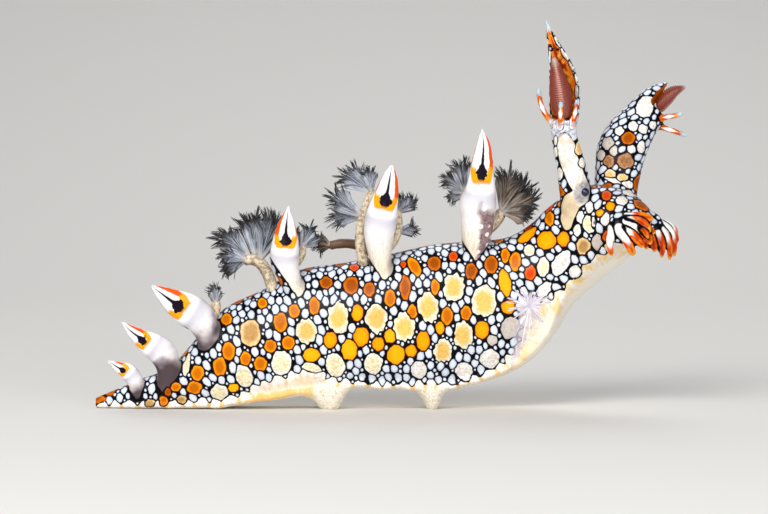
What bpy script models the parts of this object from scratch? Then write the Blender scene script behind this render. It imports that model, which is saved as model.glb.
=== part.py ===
# A snake bornella nudibranch at life size, reared up from a foot that holds on at three places.
# The head is towards +X and turned to the animal's right, which is -Y. The floor is z = 0, and the
# origin is the middle of the flat under the foot's first grip. Sizes are in millimetres until a mesh is made.

import math
import random

import bmesh
import bpy
from mathutils import Vector

MM = 0.001
GAP = 0.3
FLOOR = 0.0

# Flesh of the body, from the tail tip to the lips. Each row is one cross-section: where its top edge
# is (x, z), where its bottom edge is (x, z), its half width, how far it lies to the left, how many
# degrees it is turned to the right, and how thick the foot is there.
SECTIONS = (
    (-30.0, 1.3, -30.0, 0.0, 0.45, 0.0, 0, 0.55),
    (-27.5, 2.3, -27.6, 0.0, 1.2, 0.0, 0, 0.9),
    (-24.4, 3.6, -24.5, 0.0, 2.0, 0.0, 0, 1.0),
    (-20.6, 5.2, -21.0, 0.0, 2.8, 0.0, 0, 1.1),
    (-17.4, 8.7, -18.2, 0.0, 3.5, 0.0, 0, 1.2),
    (-13.8, 12.5, -14.6, 0.0, 4.3, 0.0, 0, 1.3),
    (-9.1, 14.8, -9.9, 0.7, 4.9, 0.0, 0, 1.4),
    (-4.4, 17.3, -4.8, 1.4, 5.3, 0.0, 0, 1.5),
    (1.2, 18.2, 1.0, 2.4, 5.5, 0.0, 0, 1.5),
    (6.9, 19.3, 6.9, 2.4, 5.6, 0.0, 0, 1.5),
    (12.5, 20.5, 12.8, 2.1, 5.6, 0.0, 0, 1.6),
    (17.9, 20.9, 18.9, 3.4, 5.5, 0.0, 1, 1.8),
    (21.6, 21.4, 23.6, 5.4, 5.2, 0.0, 3, 2.2),
    (24.4, 23.0, 26.9, 8.5, 4.9, -0.1, 8, 2.6),
    (26.8, 25.2, 29.3, 12.7, 4.7, -0.5, 17, 2.7),
    (29.4, 26.9, 31.5, 15.4, 4.7, -1.3, 29, 2.6),
    (32.1, 28.0, 33.5, 17.6, 4.8, -2.5, 41, 2.4),
    (34.8, 27.6, 35.5, 20.0, 4.4, -4.2, 48, 1.9),
    (37.0, 25.8, 36.9, 21.6, 3.2, -6.0, 50, 0.5),
    (38.2, 24.1, 38.0, 22.7, 1.1, -7.1, 50, 0.0),
)
BODY_FULLNESS = 0.9

# Where the body and the foot are divided, as places along SECTIONS.
BODY_LENGTHS = {
    "body_tail": (0.0, 5.3),
    "body_rear": (5.3, 7.7),
    "body_middle": (7.7, 10.2),
    "body_front": (10.2, 14.2),
    "head": (14.2, 19.0),
}
FOOT_LENGTHS = {
    "foot_tail": (0.0, 6.2),
    "foot_middle": (6.2, 11.5),
    "foot_front": (11.5, 17.0),
}
BODY_SIDES = 20
BODY_STEP = 0.42
FOOT_STEP = 0.21

# The foot lets itself down to hold on: place along x, reach towards the tail and the head, depth.
GRIPS = ((-0.2, 4.4, 2.6, 3.3), (12.2, 2.6, 2.0, 3.0))
SOLE_SHARE = 0.62
FOOT_FLARE = 0.25
FOOT_LOBE = 1.1

# The six upright processes of the right side, head to tail. Each row of one is a cross-section
# from the root to the tip: x, z and half the width seen from the side.
PROCESSES = (
    (
        (17.1, 18.2, 1.3), (17.2, 19.8, 1.4), (17.5, 21.6, 1.9), (17.7, 24.1, 2.1),
        (17.7, 25.8, 2.3), (18.0, 27.3, 1.95), (18.1, 29.1, 1.6), (18.2, 31.0, 1.35),
        (18.3, 32.9, 0.95), (18.2, 34.2, 0.5), (18.1, 35.1, 0.13),
    ),
    (
        (6.0, 14.8, 1.2), (5.8, 16.6, 1.25), (5.6, 19.1, 1.45), (5.5, 22.0, 1.9),
        (5.8, 24.1, 2.0), (6.1, 25.6, 1.75), (6.5, 27.2, 1.5), (6.8, 28.9, 1.05),
        (7.0, 30.1, 0.5), (7.1, 30.9, 0.13),
    ),
    (
        (-4.1, 12.0, 1.1), (-4.6, 13.9, 1.15), (-5.6, 16.5, 1.4), (-6.2, 18.7, 1.8),
        (-6.1, 20.4, 1.75), (-6.0, 21.8, 1.5), (-5.9, 23.2, 1.15), (-5.75, 24.5, 0.6),
        (-5.6, 25.6, 0.13),
    ),
    (
        (-15.4, 6.0, 1.2), (-15.6, 7.8, 1.25), (-15.9, 9.7, 1.6), (-16.8, 11.5, 2.05),
        (-18.3, 12.6, 2.15), (-19.7, 13.5, 1.75), (-21.0, 14.4, 1.2), (-22.1, 15.2, 0.6),
        (-22.9, 15.9, 0.13),
    ),
    (
        (-20.9, 2.0, 1.1), (-20.9, 3.6, 1.2), (-20.8, 5.4, 1.5), (-21.4, 7.1, 1.8),
        (-22.7, 8.1, 1.65), (-24.1, 9.1, 1.2), (-25.5, 10.2, 0.65), (-26.5, 11.2, 0.13),
    ),
    (
        (-24.4, 1.2, 0.8), (-24.6, 2.4, 0.85), (-25.0, 3.7, 1.05), (-25.8, 4.7, 1.1),
        (-26.9, 5.3, 0.8), (-27.9, 5.9, 0.4), (-28.6, 6.3, 0.12),
    ),
)
PROCESS_LEAN = 0.3
PROCESS_ROOT_DROP = 2.0
STALK_DEPTH = 0.85
BEAK_DEPTH = 0.5
PROCESS_SIDES = 9

# The left processes stand a little further out and lower, where the right ones hide them from a
# viewer 400 mm away at this x and z.
VIEW_CENTRE = (6.1, 36.0)
VIEW_FAR = 400.0

# Gills on the inner side of each process: on which side of the body, process, which way they face,
# x and z of the stem's root, bend and end, and the angle, the length and the place on the stem, from
# root 0 to end 1, of each blade.
GILLS = (
    (
        "both", 1, "rear", (16.7, 23.9), (15.8, 25.3), (16.2, 26.9),
        ((104, 5.0, 1.0), (142, 3.9, 1.0), (196, 2.7, 1.0)),
    ),
    (
        "both", 1, "front", (18.4, 22.2), (20.1, 23.2), (20.6, 24.6),
        ((80, 6.4, 1.0), (50, 6.0, 1.0), (20, 5.4, 1.0), (-9, 4.4, 1.0)),
    ),
    (
        "right", 2, "rear", (3.7, 17.0), (2.2, 22.0), (4.6, 27.0),
        ((104, 3.8, 1.0), (128, 5.0, 1.0), (146, 5.2, 1.0), (151, 5.8, 0.7), (174, 4.8, 0.68)),
    ),
    (
        "left", 2, "rear", (4.8, 19.6), (2.4, 21.4), (-0.4, 20.6),
        ((172, 3.0, 1.0), (150, 2.8, 1.0), (197, 2.3, 1.0)),
    ),
    (
        "both", 2, "front", (6.3, 20.2), (8.2, 21.6), (7.7, 24.6),
        ((62, 2.8, 1.0), (34, 3.4, 1.0), (14, 3.0, 0.55)),
    ),
    (
        "both", 3, "rear", (-7.6, 13.4), (-8.5, 19.3), (-10.9, 18.7),
        ((66, 7.0, 0.65), (98, 6.8, 0.75), (130, 6.0, 0.9), (162, 3.8, 1.0), (198, 3.8, 1.0)),
    ),
    ("right", 3, "front", (-5.3, 18.0), (-4.1, 19.0), (-4.1, 20.2), ((72, 3.7, 1.0), (28, 3.2, 1.0))),
    ("left", 3, "front", (-5.3, 18.0), (-4.5, 19.0), (-4.6, 20.2), ((104, 3.2, 1.0), (76, 2.6, 1.0))),
    ("both", 4, "front", (-15.7, 11.2), (-14.6, 12.1), (-14.8, 13.2), ((98, 2.8, 1.0), (70, 2.2, 1.0))),
)
GILL_STEM_RADIUS = 0.6
# A blade's half width and thickness along its length, and its points to both sides, in degrees.
BLADE_WIDTHS = ((-0.03, 0.3, 0.3), (0.35, 0.6, 0.3), (0.68, 1.0, 0.28), (0.86, 0.7, 0.2))
BLADE_POINTS = (-14, 0, 14)
POINT_RADIUS = 0.3
GILL_SEED = 4

# The smelling feelers. The stalk, the sail behind it and the club inside are rows from the root up:
# x, y, z and half width. OPENING is the way the cup between sail and papillae faces.
STALKS = {
    "right": (
        (29.8, -4.0, 25.0, 2.0), (29.8, -4.6, 26.6, 2.0), (29.5, -4.9, 28.6, 1.95), (29.2, -5.2, 30.3, 1.8),
        (28.7, -5.5, 32.1, 1.7), (28.3, -5.8, 33.9, 1.6), (28.2, -6.0, 35.1, 1.65), (28.2, -6.1, 36.0, 1.75),
    ),
    "left": (
        (35.1, -0.9, 26.0, 2.5), (35.1, -0.4, 28.0, 2.75), (35.4, 0.0, 30.2, 2.95), (35.8, 0.5, 32.2, 3.1),
        (36.8, 1.3, 34.1, 2.95), (38.3, 2.3, 36.0, 2.55), (39.5, 3.0, 37.4, 2.35),
    ),
}
SAILS = {
    "right": (
        (28.2, -5.9, 34.8, 1.5), (28.25, -6.0, 36.2, 1.85), (28.25, -6.2, 38.1, 2.05),
        (28.2, -6.5, 39.9, 2.0), (27.9, -6.8, 41.9, 1.75), (27.35, -7.1, 43.8, 1.28),
        (26.7, -7.3, 45.6, 0.8), (25.85, -7.6, 48.2, 0.3),
    ),
    "left": (
        (38.3, 2.2, 36.2, 1.9), (39.2, 2.8, 37.4, 2.1), (40.1, 3.4, 38.6, 1.8), (41.0, 4.0, 39.6, 1.2),
        (42.1, 4.7, 40.8, 0.2),
    ),
}
CLUBS = {
    "right": (
        (28.0, -6.6, 36.5, 0.8), (28.0, -6.8, 37.3, 1.2), (27.8, -7.0, 38.8, 1.35), (27.5, -7.2, 40.6, 1.1),
        (27.2, -7.4, 42.1, 0.7), (26.9, -7.5, 43.5, 0.25),
    ),
    "left": (
        (40.35, 3.1, 37.5, 0.8), (40.9, 3.4, 38.0, 1.15), (41.9, 3.9, 38.9, 1.1), (42.9, 4.5, 39.6, 0.75),
        (44.1, 5.1, 40.1, 0.25),
    ),
}
OPENING = {"right": (-0.1, -1.0, 0.0), "left": (0.8, -0.35, -0.55)}
SAIL_THICKNESS = 0.55
SAIL_WRAP = 100
LAMELLAE = 9
LAMELLA_RISE = 0.16

# Papillae on the rim of the cup: root and tip.
PAPILLAE = {
    "right": (
        ((26.9, -6.4, 35.4), (24.9, -7.6, 40.2), (-0.4, 0.0, -0.3)),
        ((27.7, -7.2, 35.2), (27.7, -8.6, 38.4), (0.0, 0.0, 0.0)),
        ((29.1, -7.0, 35.3), (29.7, -8.1, 38.7), (0.1, 0.0, -0.1)),
    ),
    "left": (
        ((39.6, 1.6, 36.3), (43.8, 1.6, 36.9), (0.0, 0.0, -0.2)),
        ((39.2, 2.6, 35.4), (44.4, 2.9, 33.9), (0.0, 0.0, 0.2)),
        ((40.4, 4.2, 36.2), (43.4, 5.9, 36.6), (0.0, 0.0, 0.0)),
    ),
}
PAPILLA_RADIUS = 0.42

EYES = {"right": (30.8, -5.95, 27.15), "left": (36.9, 1.1, 27.8)}
EYE_RADIUS = 0.56

# The oral tentacles: a lobe on each side of the mouth, and its fingers as root and tip from the
# middle of the lobe, bend and radius.
LOBES = {"right": (34.9, -8.0, 22.6), "left": (39.2, -4.1, 22.6)}
LOBE_SIZE = (1.5, 1.3, 2.1)
FINGERS = {
    "right": (
        ((-0.9, -0.4, 0.2), (-1.0, -1.7, -3.3), (-0.3, -0.2, 0.0), 0.5),
        ((-0.1, -0.7, 0.3), (1.7, -2.3, -3.2), (-0.1, -0.4, 0.3), 0.62),
        ((0.8, -0.6, 0.9), (3.9, -2.2, -1.8), (0.1, -0.4, 0.5), 0.62),
        ((1.0, -0.5, 1.2), (3.7, -2.6, 0.1), (0.1, -0.2, 0.4), 0.5),
        ((0.8, 0.0, 1.5), (4.2, -1.4, 1.3), (0.0, -0.1, 0.4), 0.5),
        ((0.5, -1.0, 0.1), (2.8, -3.1, -2.2), (0.0, -0.3, 0.3), 0.48),
        ((1.2, 0.2, 1.0), (4.4, -2.0, -0.6), (0.2, -0.2, 0.5), 0.42),
        ((1.4, -0.4, 0.6), (3.4, -3.2, -0.9), (0.2, -0.3, 0.3), 0.4),
    ),
    "left": (
        ((0.3, 0.2, 1.0), (2.9, 0.6, -3.7), (0.9, 0.0, 0.8), 0.5),
        ((0.2, -0.1, 0.6), (2.2, -0.7, -4.1), (0.7, -0.1, 0.5), 0.5),
        ((0.0, -0.4, 0.2), (1.2, -1.4, -3.7), (0.4, -0.2, 0.3), 0.5),
        ((-0.4, -0.4, 0.0), (0.3, -1.8, -3.0), (0.0, -0.2, 0.2), 0.45),
        ((0.4, 0.6, 1.0), (3.3, 1.9, -2.3), (0.9, 0.2, 0.7), 0.48),
        ((-0.8, -0.2, -0.4), (-0.7, -1.4, -2.6), (-0.1, -0.2, 0.0), 0.42),
    ),
}

SKIN = ("skin_mosaic", (0.62, 0.5, 0.3), 0.35)
FOOT = ("foot_cream", (0.86, 0.72, 0.48), 0.4)
PROCESS = ("process_cream", (0.9, 0.82, 0.7), 0.35)
GILL = ("gill_grey", (0.12, 0.11, 0.12), 0.45)
CLUB = ("club_red", (0.3, 0.06, 0.04), 0.4)
EYE = ("eye_dark", (0.01, 0.02, 0.06), 0.1)


def material(kind):
    """The material of one kind of flesh, made once."""
    name, colour, roughness = kind
    made = bpy.data.materials.get(name)
    if made is None:
        made = bpy.data.materials.new(name)
        made.use_nodes = True
        shader = made.node_tree.nodes["Principled BSDF"]
        shader.inputs["Base Color"].default_value = (*colour, 1.0)
        shader.inputs["Roughness"].default_value = roughness
        shader.inputs["Metallic"].default_value = 0.0
    return made


def smooth_row(rows, place):
    """The row at a place along a table of rows, on a smooth curve through them."""
    low = max(0, min(int(place), len(rows) - 2))
    f = place - low
    before, a, b, after = (
        rows[max(low - 1, 0)],
        rows[low],
        rows[low + 1],
        rows[min(low + 2, len(rows) - 1)],
    )
    return [
        0.5 * (2 * q + (r - p) * f + (2 * p - 5 * q + 4 * r - s) * f * f + (3 * q - p - 3 * r + s) * f ** 3)
        for p, q, r, s in zip(before, a, b, after)
    ]


def steps(first, last, step):
    """Places from first to last, about step apart."""
    count = max(1, round((last - first) / step))
    return [first + (last - first) * i / count for i in range(count + 1)]


def closed_mesh(name, rings, kind):
    """An object whose skin runs through rings of points and is capped at both ends."""
    form = bmesh.new()
    loops = [[form.verts.new(Vector(p) * MM) for p in ring] for ring in rings]
    for near, far in zip(loops, loops[1:]):
        for i in range(len(near)):
            j = (i + 1) % len(near)
            form.faces.new((near[i], near[j], far[j], far[i]))
    form.faces.new(reversed(loops[0]))
    form.faces.new(loops[-1])
    bmesh.ops.recalc_face_normals(form, faces=form.faces)
    mesh = bpy.data.meshes.new(name)
    form.to_mesh(mesh)
    form.free()
    mesh.materials.append(material(kind))
    mesh.shade_smooth()
    piece = bpy.data.objects.new(name, mesh)
    bpy.context.scene.collection.objects.link(piece)
    return piece


class Section:
    """One cross-section of the body: its middle, its directions and its sizes."""

    def __init__(self, place):
        top_x, top_z, low_x, low_z, self.half_width, side, turn, self.foot = smooth_row(SECTIONS, place)
        turn = math.radians(turn)
        sway = -(top_x - low_x) * math.tan(turn) / 2
        top = Vector((top_x, side + sway, top_z))
        low = Vector((low_x, side - sway, max(low_z, FLOOR)))
        self.middle = (top + low) / 2
        self.half_height = (top - low).length / 2
        self.up = (top - low).normalized()
        self.left = Vector((math.sin(turn), math.cos(turn), 0))

    def round_point(self, angle, grow=0.0):
        """A point of the rounded outline: angle 0 is the top of the back, and pi / 2 the left side."""
        bulge = math.copysign(abs(math.sin(angle)) ** BODY_FULLNESS, math.sin(angle))
        return (
            self.middle
            + self.up * (self.half_height + grow) * math.cos(angle)
            + self.left * (self.half_width + grow) * bulge
        )

    def foot_angle(self):
        """The angle at which the rounded outline meets the top of the foot."""
        share = min(self.foot / self.half_height, 1.9)
        return math.acos(max(-0.995, share - 1.0))


def body_ring(place, grow=0.0):
    """The body's outline above the foot."""
    section = Section(place)
    end = section.foot_angle()
    return [
        section.round_point(end * (2 * i / (BODY_SIDES - 1) - 1), grow) for i in range(BODY_SIDES)
    ]


def grip_depth(x):
    """How far the foot lets itself down at x."""
    depth = 0.0
    for middle, back, front, most in GRIPS:
        share = abs(x - middle) / (back if x < middle else front)
        if share < 1:
            depth = max(depth, most * math.cos(share * math.pi / 2) ** 2)
    return depth


def foot_ring(place, grow=0.0):
    """The foot's outline: a flat top under the body, a flared margin and a flat sole."""
    section = Section(place)
    low = section.middle - section.up * section.half_height
    edge = section.round_point(section.foot_angle())
    half_top = abs((edge - section.middle).dot(section.left))
    thick = max(section.foot - GAP, 0.35)
    lobe = max(0.0, (place - FOOT_LENGTHS["foot_front"][1] + FOOT_LOBE) / FOOT_LOBE)
    half_top *= math.sqrt(max(0.1, 1 - lobe * lobe))
    sole = half_top * 0.9 if lobe else max(half_top * 0.9, section.half_width * SOLE_SHARE)
    drop = grip_depth(low.x)

    def at(side, height):
        point = low + section.up * height + section.left * side
        point.z = max(point.z, FLOOR)
        return point

    flare = half_top + FOOT_FLARE
    half = [
        (half_top + grow, thick + grow),
        (flare + grow, thick * 0.5),
        (sole + grow, 0.08 * thick - drop * 0.5),
        (sole * 0.75 + grow, -drop - grow),
    ]
    return [at(s, h) for s, h in half] + [at(-s, h) for s, h in reversed(half)]


def apply_boolean(piece, operation, collection, solver):
    """Joins or cuts a piece with the closed meshes of a collection."""
    change = piece.modifiers.new(operation.lower(), "BOOLEAN")
    change.operation = operation
    change.operand_type = "COLLECTION"
    change.collection = collection
    change.solver = solver
    found = piece.evaluated_get(bpy.context.evaluated_depsgraph_get())
    made = bpy.data.meshes.new_from_object(found)
    piece.modifiers.clear()
    piece.data = made


def keep_largest(piece):
    """Drops everything but a piece's largest closed surface."""
    form = bmesh.new()
    form.from_mesh(piece.data)
    left, shells = set(form.faces), []
    while left:
        shell, edge = set(), [left.pop()]
        while edge:
            face = edge.pop()
            shell.add(face)
            near = {f for e in face.edges for f in e.link_faces} & left
            left -= near
            edge.extend(near)
        shells.append(shell)
    shells.sort(key=lambda s: sum(f.calc_area() for f in s))
    bmesh.ops.delete(form, geom=[f for s in shells[:-1] for f in s], context="FACES")
    bmesh.ops.triangulate(form, faces=form.faces)
    form.to_mesh(piece.data)
    form.free()


def collect(name, pieces):
    """A collection that holds these pieces."""
    group = bpy.data.collections.new(name)
    bpy.context.scene.collection.children.link(group)
    for piece in pieces:
        bpy.context.scene.collection.objects.unlink(piece)
        group.objects.link(piece)
    return group


def remove_group(group):
    """Removes a collection with all that it holds."""
    for piece in list(group.objects):
        bpy.data.objects.remove(piece)
    bpy.data.collections.remove(group)


def join(base, pieces, solver="EXACT"):
    """Fuses pieces into base as one closed body."""
    group = collect(base.name + "_pieces", pieces)
    apply_boolean(base, "UNION", group, solver)
    remove_group(group)
    keep_largest(base)
    return base


def cut(piece, group, solver="EXACT"):
    """Cuts a piece clear of the closed meshes of a collection."""
    apply_boolean(piece, "DIFFERENCE", group, solver)
    keep_largest(piece)
    return piece


def tube(name, stops, kind, sides, wide=Vector((1, 0, 0)), grow=0.0, sharp=1.0):
    """A bent tapered tube. Each stop is its middle, its half width along wide and its half depth."""
    rings = []
    for i, (middle, half_width, half_depth) in enumerate(stops):
        before = stops[max(i - 1, 0)][0]
        after = stops[min(i + 1, len(stops) - 1)][0]
        along = (after - before).normalized()
        deep = along.cross(wide).normalized()
        across = deep.cross(along).normalized()
        ring = []
        for k in range(sides):
            angle = 2 * math.pi * k / sides
            c, s = math.cos(angle), math.sin(angle)
            s = math.copysign(abs(s) ** sharp, s)
            ring.append(middle + across * (half_width + grow) * c + deep * (half_depth + grow) * s)
        rings.append(ring)
    return closed_mesh(name, rings, kind)


def build_body():
    """The body and the head in lengths, above the foot."""
    pitch = 0.5 * GAP
    for name, (first, last) in BODY_LENGTHS.items():
        start = first + (pitch / length_at(first) if first else 0.0)
        end = last - (pitch / length_at(last) if last < len(SECTIONS) - 1 else 0.0)
        rings = [body_ring(place) for place in steps(start, end, BODY_STEP)]
        closed_mesh(name, rings, SKIN)


def length_at(place):
    """Millimetres of body for one step along SECTIONS at this place."""
    ends = [Section(max(0.0, min(place + d, len(SECTIONS) - 1))).middle for d in (-0.1, 0.1)]
    return (ends[1] - ends[0]).length / 0.2


def build_foot():
    """The foot in lengths."""
    pitch = 0.5 * GAP
    for name, (first, last) in FOOT_LENGTHS.items():
        start = first + (pitch / length_at(first) if first else 0.0)
        end = last - pitch / length_at(last)
        rings = [foot_ring(place) for place in steps(start, end, FOOT_STEP)]
        closed_mesh(name, rings, FOOT)


def body_cutter():
    """The whole body and foot grown by the gap, for cutting what grows on them."""
    places = steps(0.0, len(SECTIONS) - 1, BODY_STEP)
    body = closed_mesh("body_cutter", [body_ring(place, GAP) for place in places], SKIN)
    places = steps(FOOT_LENGTHS["foot_front"][0], FOOT_LENGTHS["foot_front"][1], FOOT_STEP)
    foot = closed_mesh("foot_cutter", [foot_ring(place, GAP) for place in places], SKIN)
    return collect("body_cutters", [body, foot])


def surface_side(x, drop):
    """How far from the middle plane the back's edge lies at x, drop below its top."""
    place = min(
        (i / 20 for i in range(20 * 12)), key=lambda p: abs(smooth_row(SECTIONS, p)[0] - x)
    )
    section = Section(place)
    angle = math.acos(max(0.0, 1 - drop / section.half_height))
    return abs(section.round_point(angle).y)


def behind(place):
    """The place itself on the right side; on the left, the place that the right one hides."""
    hide = 2 * max(place.y, 0.0) / VIEW_FAR
    across, up = place.x - VIEW_CENTRE[0], place.z - VIEW_CENTRE[1]
    return place + Vector((across * hide, 0, up * hide))


def process_stops(number, side):
    """The middle and sizes of a process along its length. side is -1 on the right and 1 on the left."""
    rows = PROCESSES[number - 1]
    drop = min(PROCESS_ROOT_DROP, 0.5 * rows[1][1])
    root_side = surface_side(rows[1][0], drop) - rows[1][2] * 0.5
    stops = []
    for i, (x, z, half_width) in enumerate(rows):
        share = i / (len(rows) - 1)
        away = root_side + PROCESS_LEAN * (z - rows[1][1])
        depth = STALK_DEPTH + (BEAK_DEPTH - STALK_DEPTH) * max(0.0, min(1.0, (share - 0.45) * 4))
        place = behind(Vector((x, side * away, z)))
        stops.append((place, half_width, half_width * depth))
    return stops


def build_processes(body_group):
    """Both rows of six processes, and the grown copies that cut the gills."""
    cutters = {}
    for side, word in ((-1, "right"), (1, "left")):
        for number in range(1, len(PROCESSES) + 1):
            stops = process_stops(number, side)
            name = f"process_{word}_{number}"
            cut(tube(name, stops, PROCESS, PROCESS_SIDES, sharp=1.15), body_group)
            grown = tube(name + "_cutter", stops, PROCESS, PROCESS_SIDES, grow=GAP, sharp=1.15)
            cutters[word, number] = collect(name + "_cutters", [grown])
    return cutters


def stop_at_height(stops, z):
    """Where a process is at height z: its middle and its two half sizes."""
    for low, high in zip(stops, stops[1:]):
        if low[0].z <= z <= high[0].z:
            f = (z - low[0].z) / (high[0].z - low[0].z)
            return tuple(a + (b - a) * f for a, b in zip(low, high))
    raise ValueError(f"no part of this process is at height {z}")


def blade(name, base, angle, length, lean, chance):
    """One flame-shaped gill blade with three points, as closed pieces still to be joined."""
    out = Vector((math.cos(angle), lean, math.sin(angle))).normalized()
    across = out.cross(Vector((0, 1, 0))).normalized()
    leaf = [(base + out * length * share, wide, thick) for share, wide, thick in BLADE_WIDTHS]
    pieces = [tube(name, leaf, GILL, 4, wide=across)]
    for i, turn in enumerate(BLADE_POINTS):
        turn = math.radians(turn)
        way = out * math.cos(turn) + across * math.sin(turn)
        reach = length * (1.0 if turn == 0 else 0.92) * chance.uniform(0.94, 1.0)
        widths = ((0.45, 1.05), (1.0, 0.4))
        point = [(base + way * reach * share, POINT_RADIUS * w, POINT_RADIUS * w) for share, w in widths]
        pieces.append(tube(f"{name}_point_{i}", point, GILL, 3, wide=across))
    return pieces


def gill_stem(stops, side, root, bend, end):
    """Three points that bend a gill's stem round the inner side of its process."""
    inward = Vector((0, -side, 0))
    low, half_width, low_depth = stop_at_height(stops, root[1])
    high, half_width, high_depth = stop_at_height(stops, end[1])
    first = behind(Vector((root[0], low.y, root[1]))) + inward * low_depth * 0.5
    last = behind(Vector((end[0], high.y, end[1]))) + inward * (high_depth + 0.6)
    middle = behind(Vector((bend[0], (low.y + high.y) / 2, bend[1])))
    middle.y = (first.y + last.y) / 2 - side * 0.3
    return first, middle, last


def on_stem(points, share):
    """The place on a gill's stem at this share of it."""
    first, middle, last = points
    return first * (1 - share) ** 2 + middle * 2 * share * (1 - share) + last * share**2


def build_gills(body_group, cutters):
    """Tufts of blades on the inner side of each of the first four processes."""
    chance = random.Random(GILL_SEED)
    for side, word in ((-1, "right"), (1, "left")):
        inward = Vector((0, -side, 0))
        for where, number, facing, root, bend, end, blades in GILLS:
            if where not in ("both", word):
                continue
            points = gill_stem(process_stops(number, side), side, root, bend, end)
            line = [on_stem(points, share) for share in (0.0, 0.35, 0.7, 1.0)]
            line.append(line[-1] + (line[-1] - line[-2]).normalized() * 0.45)
            radii = [GILL_STEM_RADIUS * width for width in (1.15, 1.1, 1.05, 0.95, 0.4)]
            name = f"gill_{word}_{number}_{facing}"
            wide = Vector((0, 1, 0))
            stem = tube(name, list(zip(line, radii, radii)), GILL, 7, wide=wide)
            pieces = []
            for i, (angle, length, share) in enumerate(blades):
                row = (-1, 1, 0)[i % 3]
                angle = math.radians(angle)
                out = Vector((math.cos(angle), 0, math.sin(angle)))
                base = on_stem(points, share) + inward * row * 0.3 - out * 0.15
                pieces += blade(f"blade_{i}", base, angle, length, -side * row * 0.2, chance)
            join(stem, pieces, "MANIFOLD")
            cut(stem, cutters[word, number], "MANIFOLD")
            cut(stem, body_group, "MANIFOLD")


def ball(name, middle, size, kind):
    """A rounded lobe or ball of three half sizes."""
    form = bmesh.new()
    bmesh.ops.create_icosphere(form, subdivisions=2, radius=1.0)
    for corner in form.verts:
        corner.co = (Vector(middle) + Vector(a * b for a, b in zip(corner.co, size))) * MM
    mesh = bpy.data.meshes.new(name)
    form.to_mesh(mesh)
    form.free()
    mesh.materials.append(material(kind))
    mesh.shade_smooth()
    piece = bpy.data.objects.new(name, mesh)
    bpy.context.scene.collection.objects.link(piece)
    return piece


def spike(name, root, tip, radius, kind, sides=5, bend=(0, 0, 0)):
    """A round finger or papilla with a blunt tip."""
    root, tip = Vector(root), Vector(tip)
    stops = []
    for share, width in ((0.0, 1.0), (0.4, 1.0), (0.75, 0.8), (0.95, 0.5), (1.0, 0.2)):
        middle = root.lerp(tip, share) + Vector(bend) * math.sin(share * math.pi)
        stops.append((middle, radius * width, radius * width))
    wide = Vector((0, 1, 0)) if abs((tip - root).normalized().x) > 0.8 else Vector((1, 0, 0))
    return tube(name, stops, kind, sides, wide=wide)


def sail(side):
    """The tall sail behind the cup: a curved leaf, hollow towards the opening."""
    rows = [(Vector(row[:3]), row[3]) for row in SAILS[side]]
    opening = Vector(OPENING[side])
    rings = []
    for i, (middle, half_width) in enumerate(rows):
        along = (rows[min(i + 1, len(rows) - 1)][0] - rows[max(i - 1, 0)][0]).normalized()
        front = (opening - along * opening.dot(along)).normalized()
        across = along.cross(front)
        inner = half_width - min(SAIL_THICKNESS, half_width * 0.55)
        ring = []
        for radius, order in ((half_width, 1), (inner, -1)):
            for k in range(7):
                angle = math.radians(SAIL_WRAP * (k / 3 - 1) * order)
                ring.append(middle + across * radius * math.sin(angle) - front * radius * math.cos(angle))
        rings.append(ring)
    return closed_mesh("sail", rings, PROCESS)


def club_stops(side, ridges=True):
    """The club's middle and sizes along its length, with a ridge for each lamella."""
    rows = CLUBS[side]
    stops = []
    for i in range(LAMELLAE * 2 + 1):
        place = i / (LAMELLAE * 2) * (len(rows) - 1)
        x, y, z, half_width = smooth_row(rows, place)
        if ridges and i % 2 == 0:
            half_width *= 1 - LAMELLA_RISE
        stops.append((Vector((x, y, z)), half_width, half_width * 0.8))
    return stops


def build_rhinophores(body_group):
    """The two smelling feelers, each a sheath with its papillae and a club, and the eyes at their feet."""
    for side in ("right", "left"):
        stalk = tube(
            f"rhinophore_sheath_{side}",
            [(Vector(row[:3]), row[3], row[3] * 0.85) for row in STALKS[side]],
            SKIN, 12,
        )
        parts = [sail(side)]
        for number, (root, tip, bend) in enumerate(PAPILLAE[side]):
            parts.append(spike(f"papilla_{number}", root, tip, PAPILLA_RADIUS, PROCESS, bend=bend))
        join(stalk, parts)
        tube(f"rhinophore_club_{side}", club_stops(side), CLUB, 9)
        grown = tube("club_cutter", club_stops(side, ridges=False), CLUB, 9, grow=GAP)
        size = EYE_RADIUS
        ball(f"eye_{side}", EYES[side], (size, size, size), EYE)
        size = EYE_RADIUS + GAP
        socket = ball("eye_cutter", EYES[side], (size, size, size), EYE)
        group = collect("feeler_cutters", [grown, socket])
        cut(stalk, group)
        remove_group(group)
        cut(stalk, body_group)


def build_oral_tentacles(body_group):
    """A lobe with its fingers on each side of the mouth."""
    for side in ("right", "left"):
        middle = Vector(LOBES[side])
        lobe = ball(f"oral_tentacle_{side}", middle, LOBE_SIZE, SKIN)
        fingers = [
            spike(f"finger_{i}", middle + Vector(root), middle + Vector(tip), radius, SKIN, bend=bend)
            for i, (root, tip, bend, radius) in enumerate(FINGERS[side])
        ]
        join(lobe, fingers)
        cut(lobe, body_group)


def main():
    """Builds every sub-part in an empty scene."""
    for old in list(bpy.data.objects):
        bpy.data.objects.remove(old)
    build_body()
    build_foot()
    body_group = body_cutter()
    cutters = build_processes(body_group)
    build_gills(body_group, cutters)
    build_rhinophores(body_group)
    build_oral_tentacles(body_group)
    for group in (body_group, *cutters.values()):
        remove_group(group)


main()
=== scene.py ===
import math
import random

import bmesh
import bpy
import numpy as np
from mathutils import Matrix, Vector, noise
from mathutils.bvhtree import BVHTree
from mathutils.kdtree import KDTree


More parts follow.
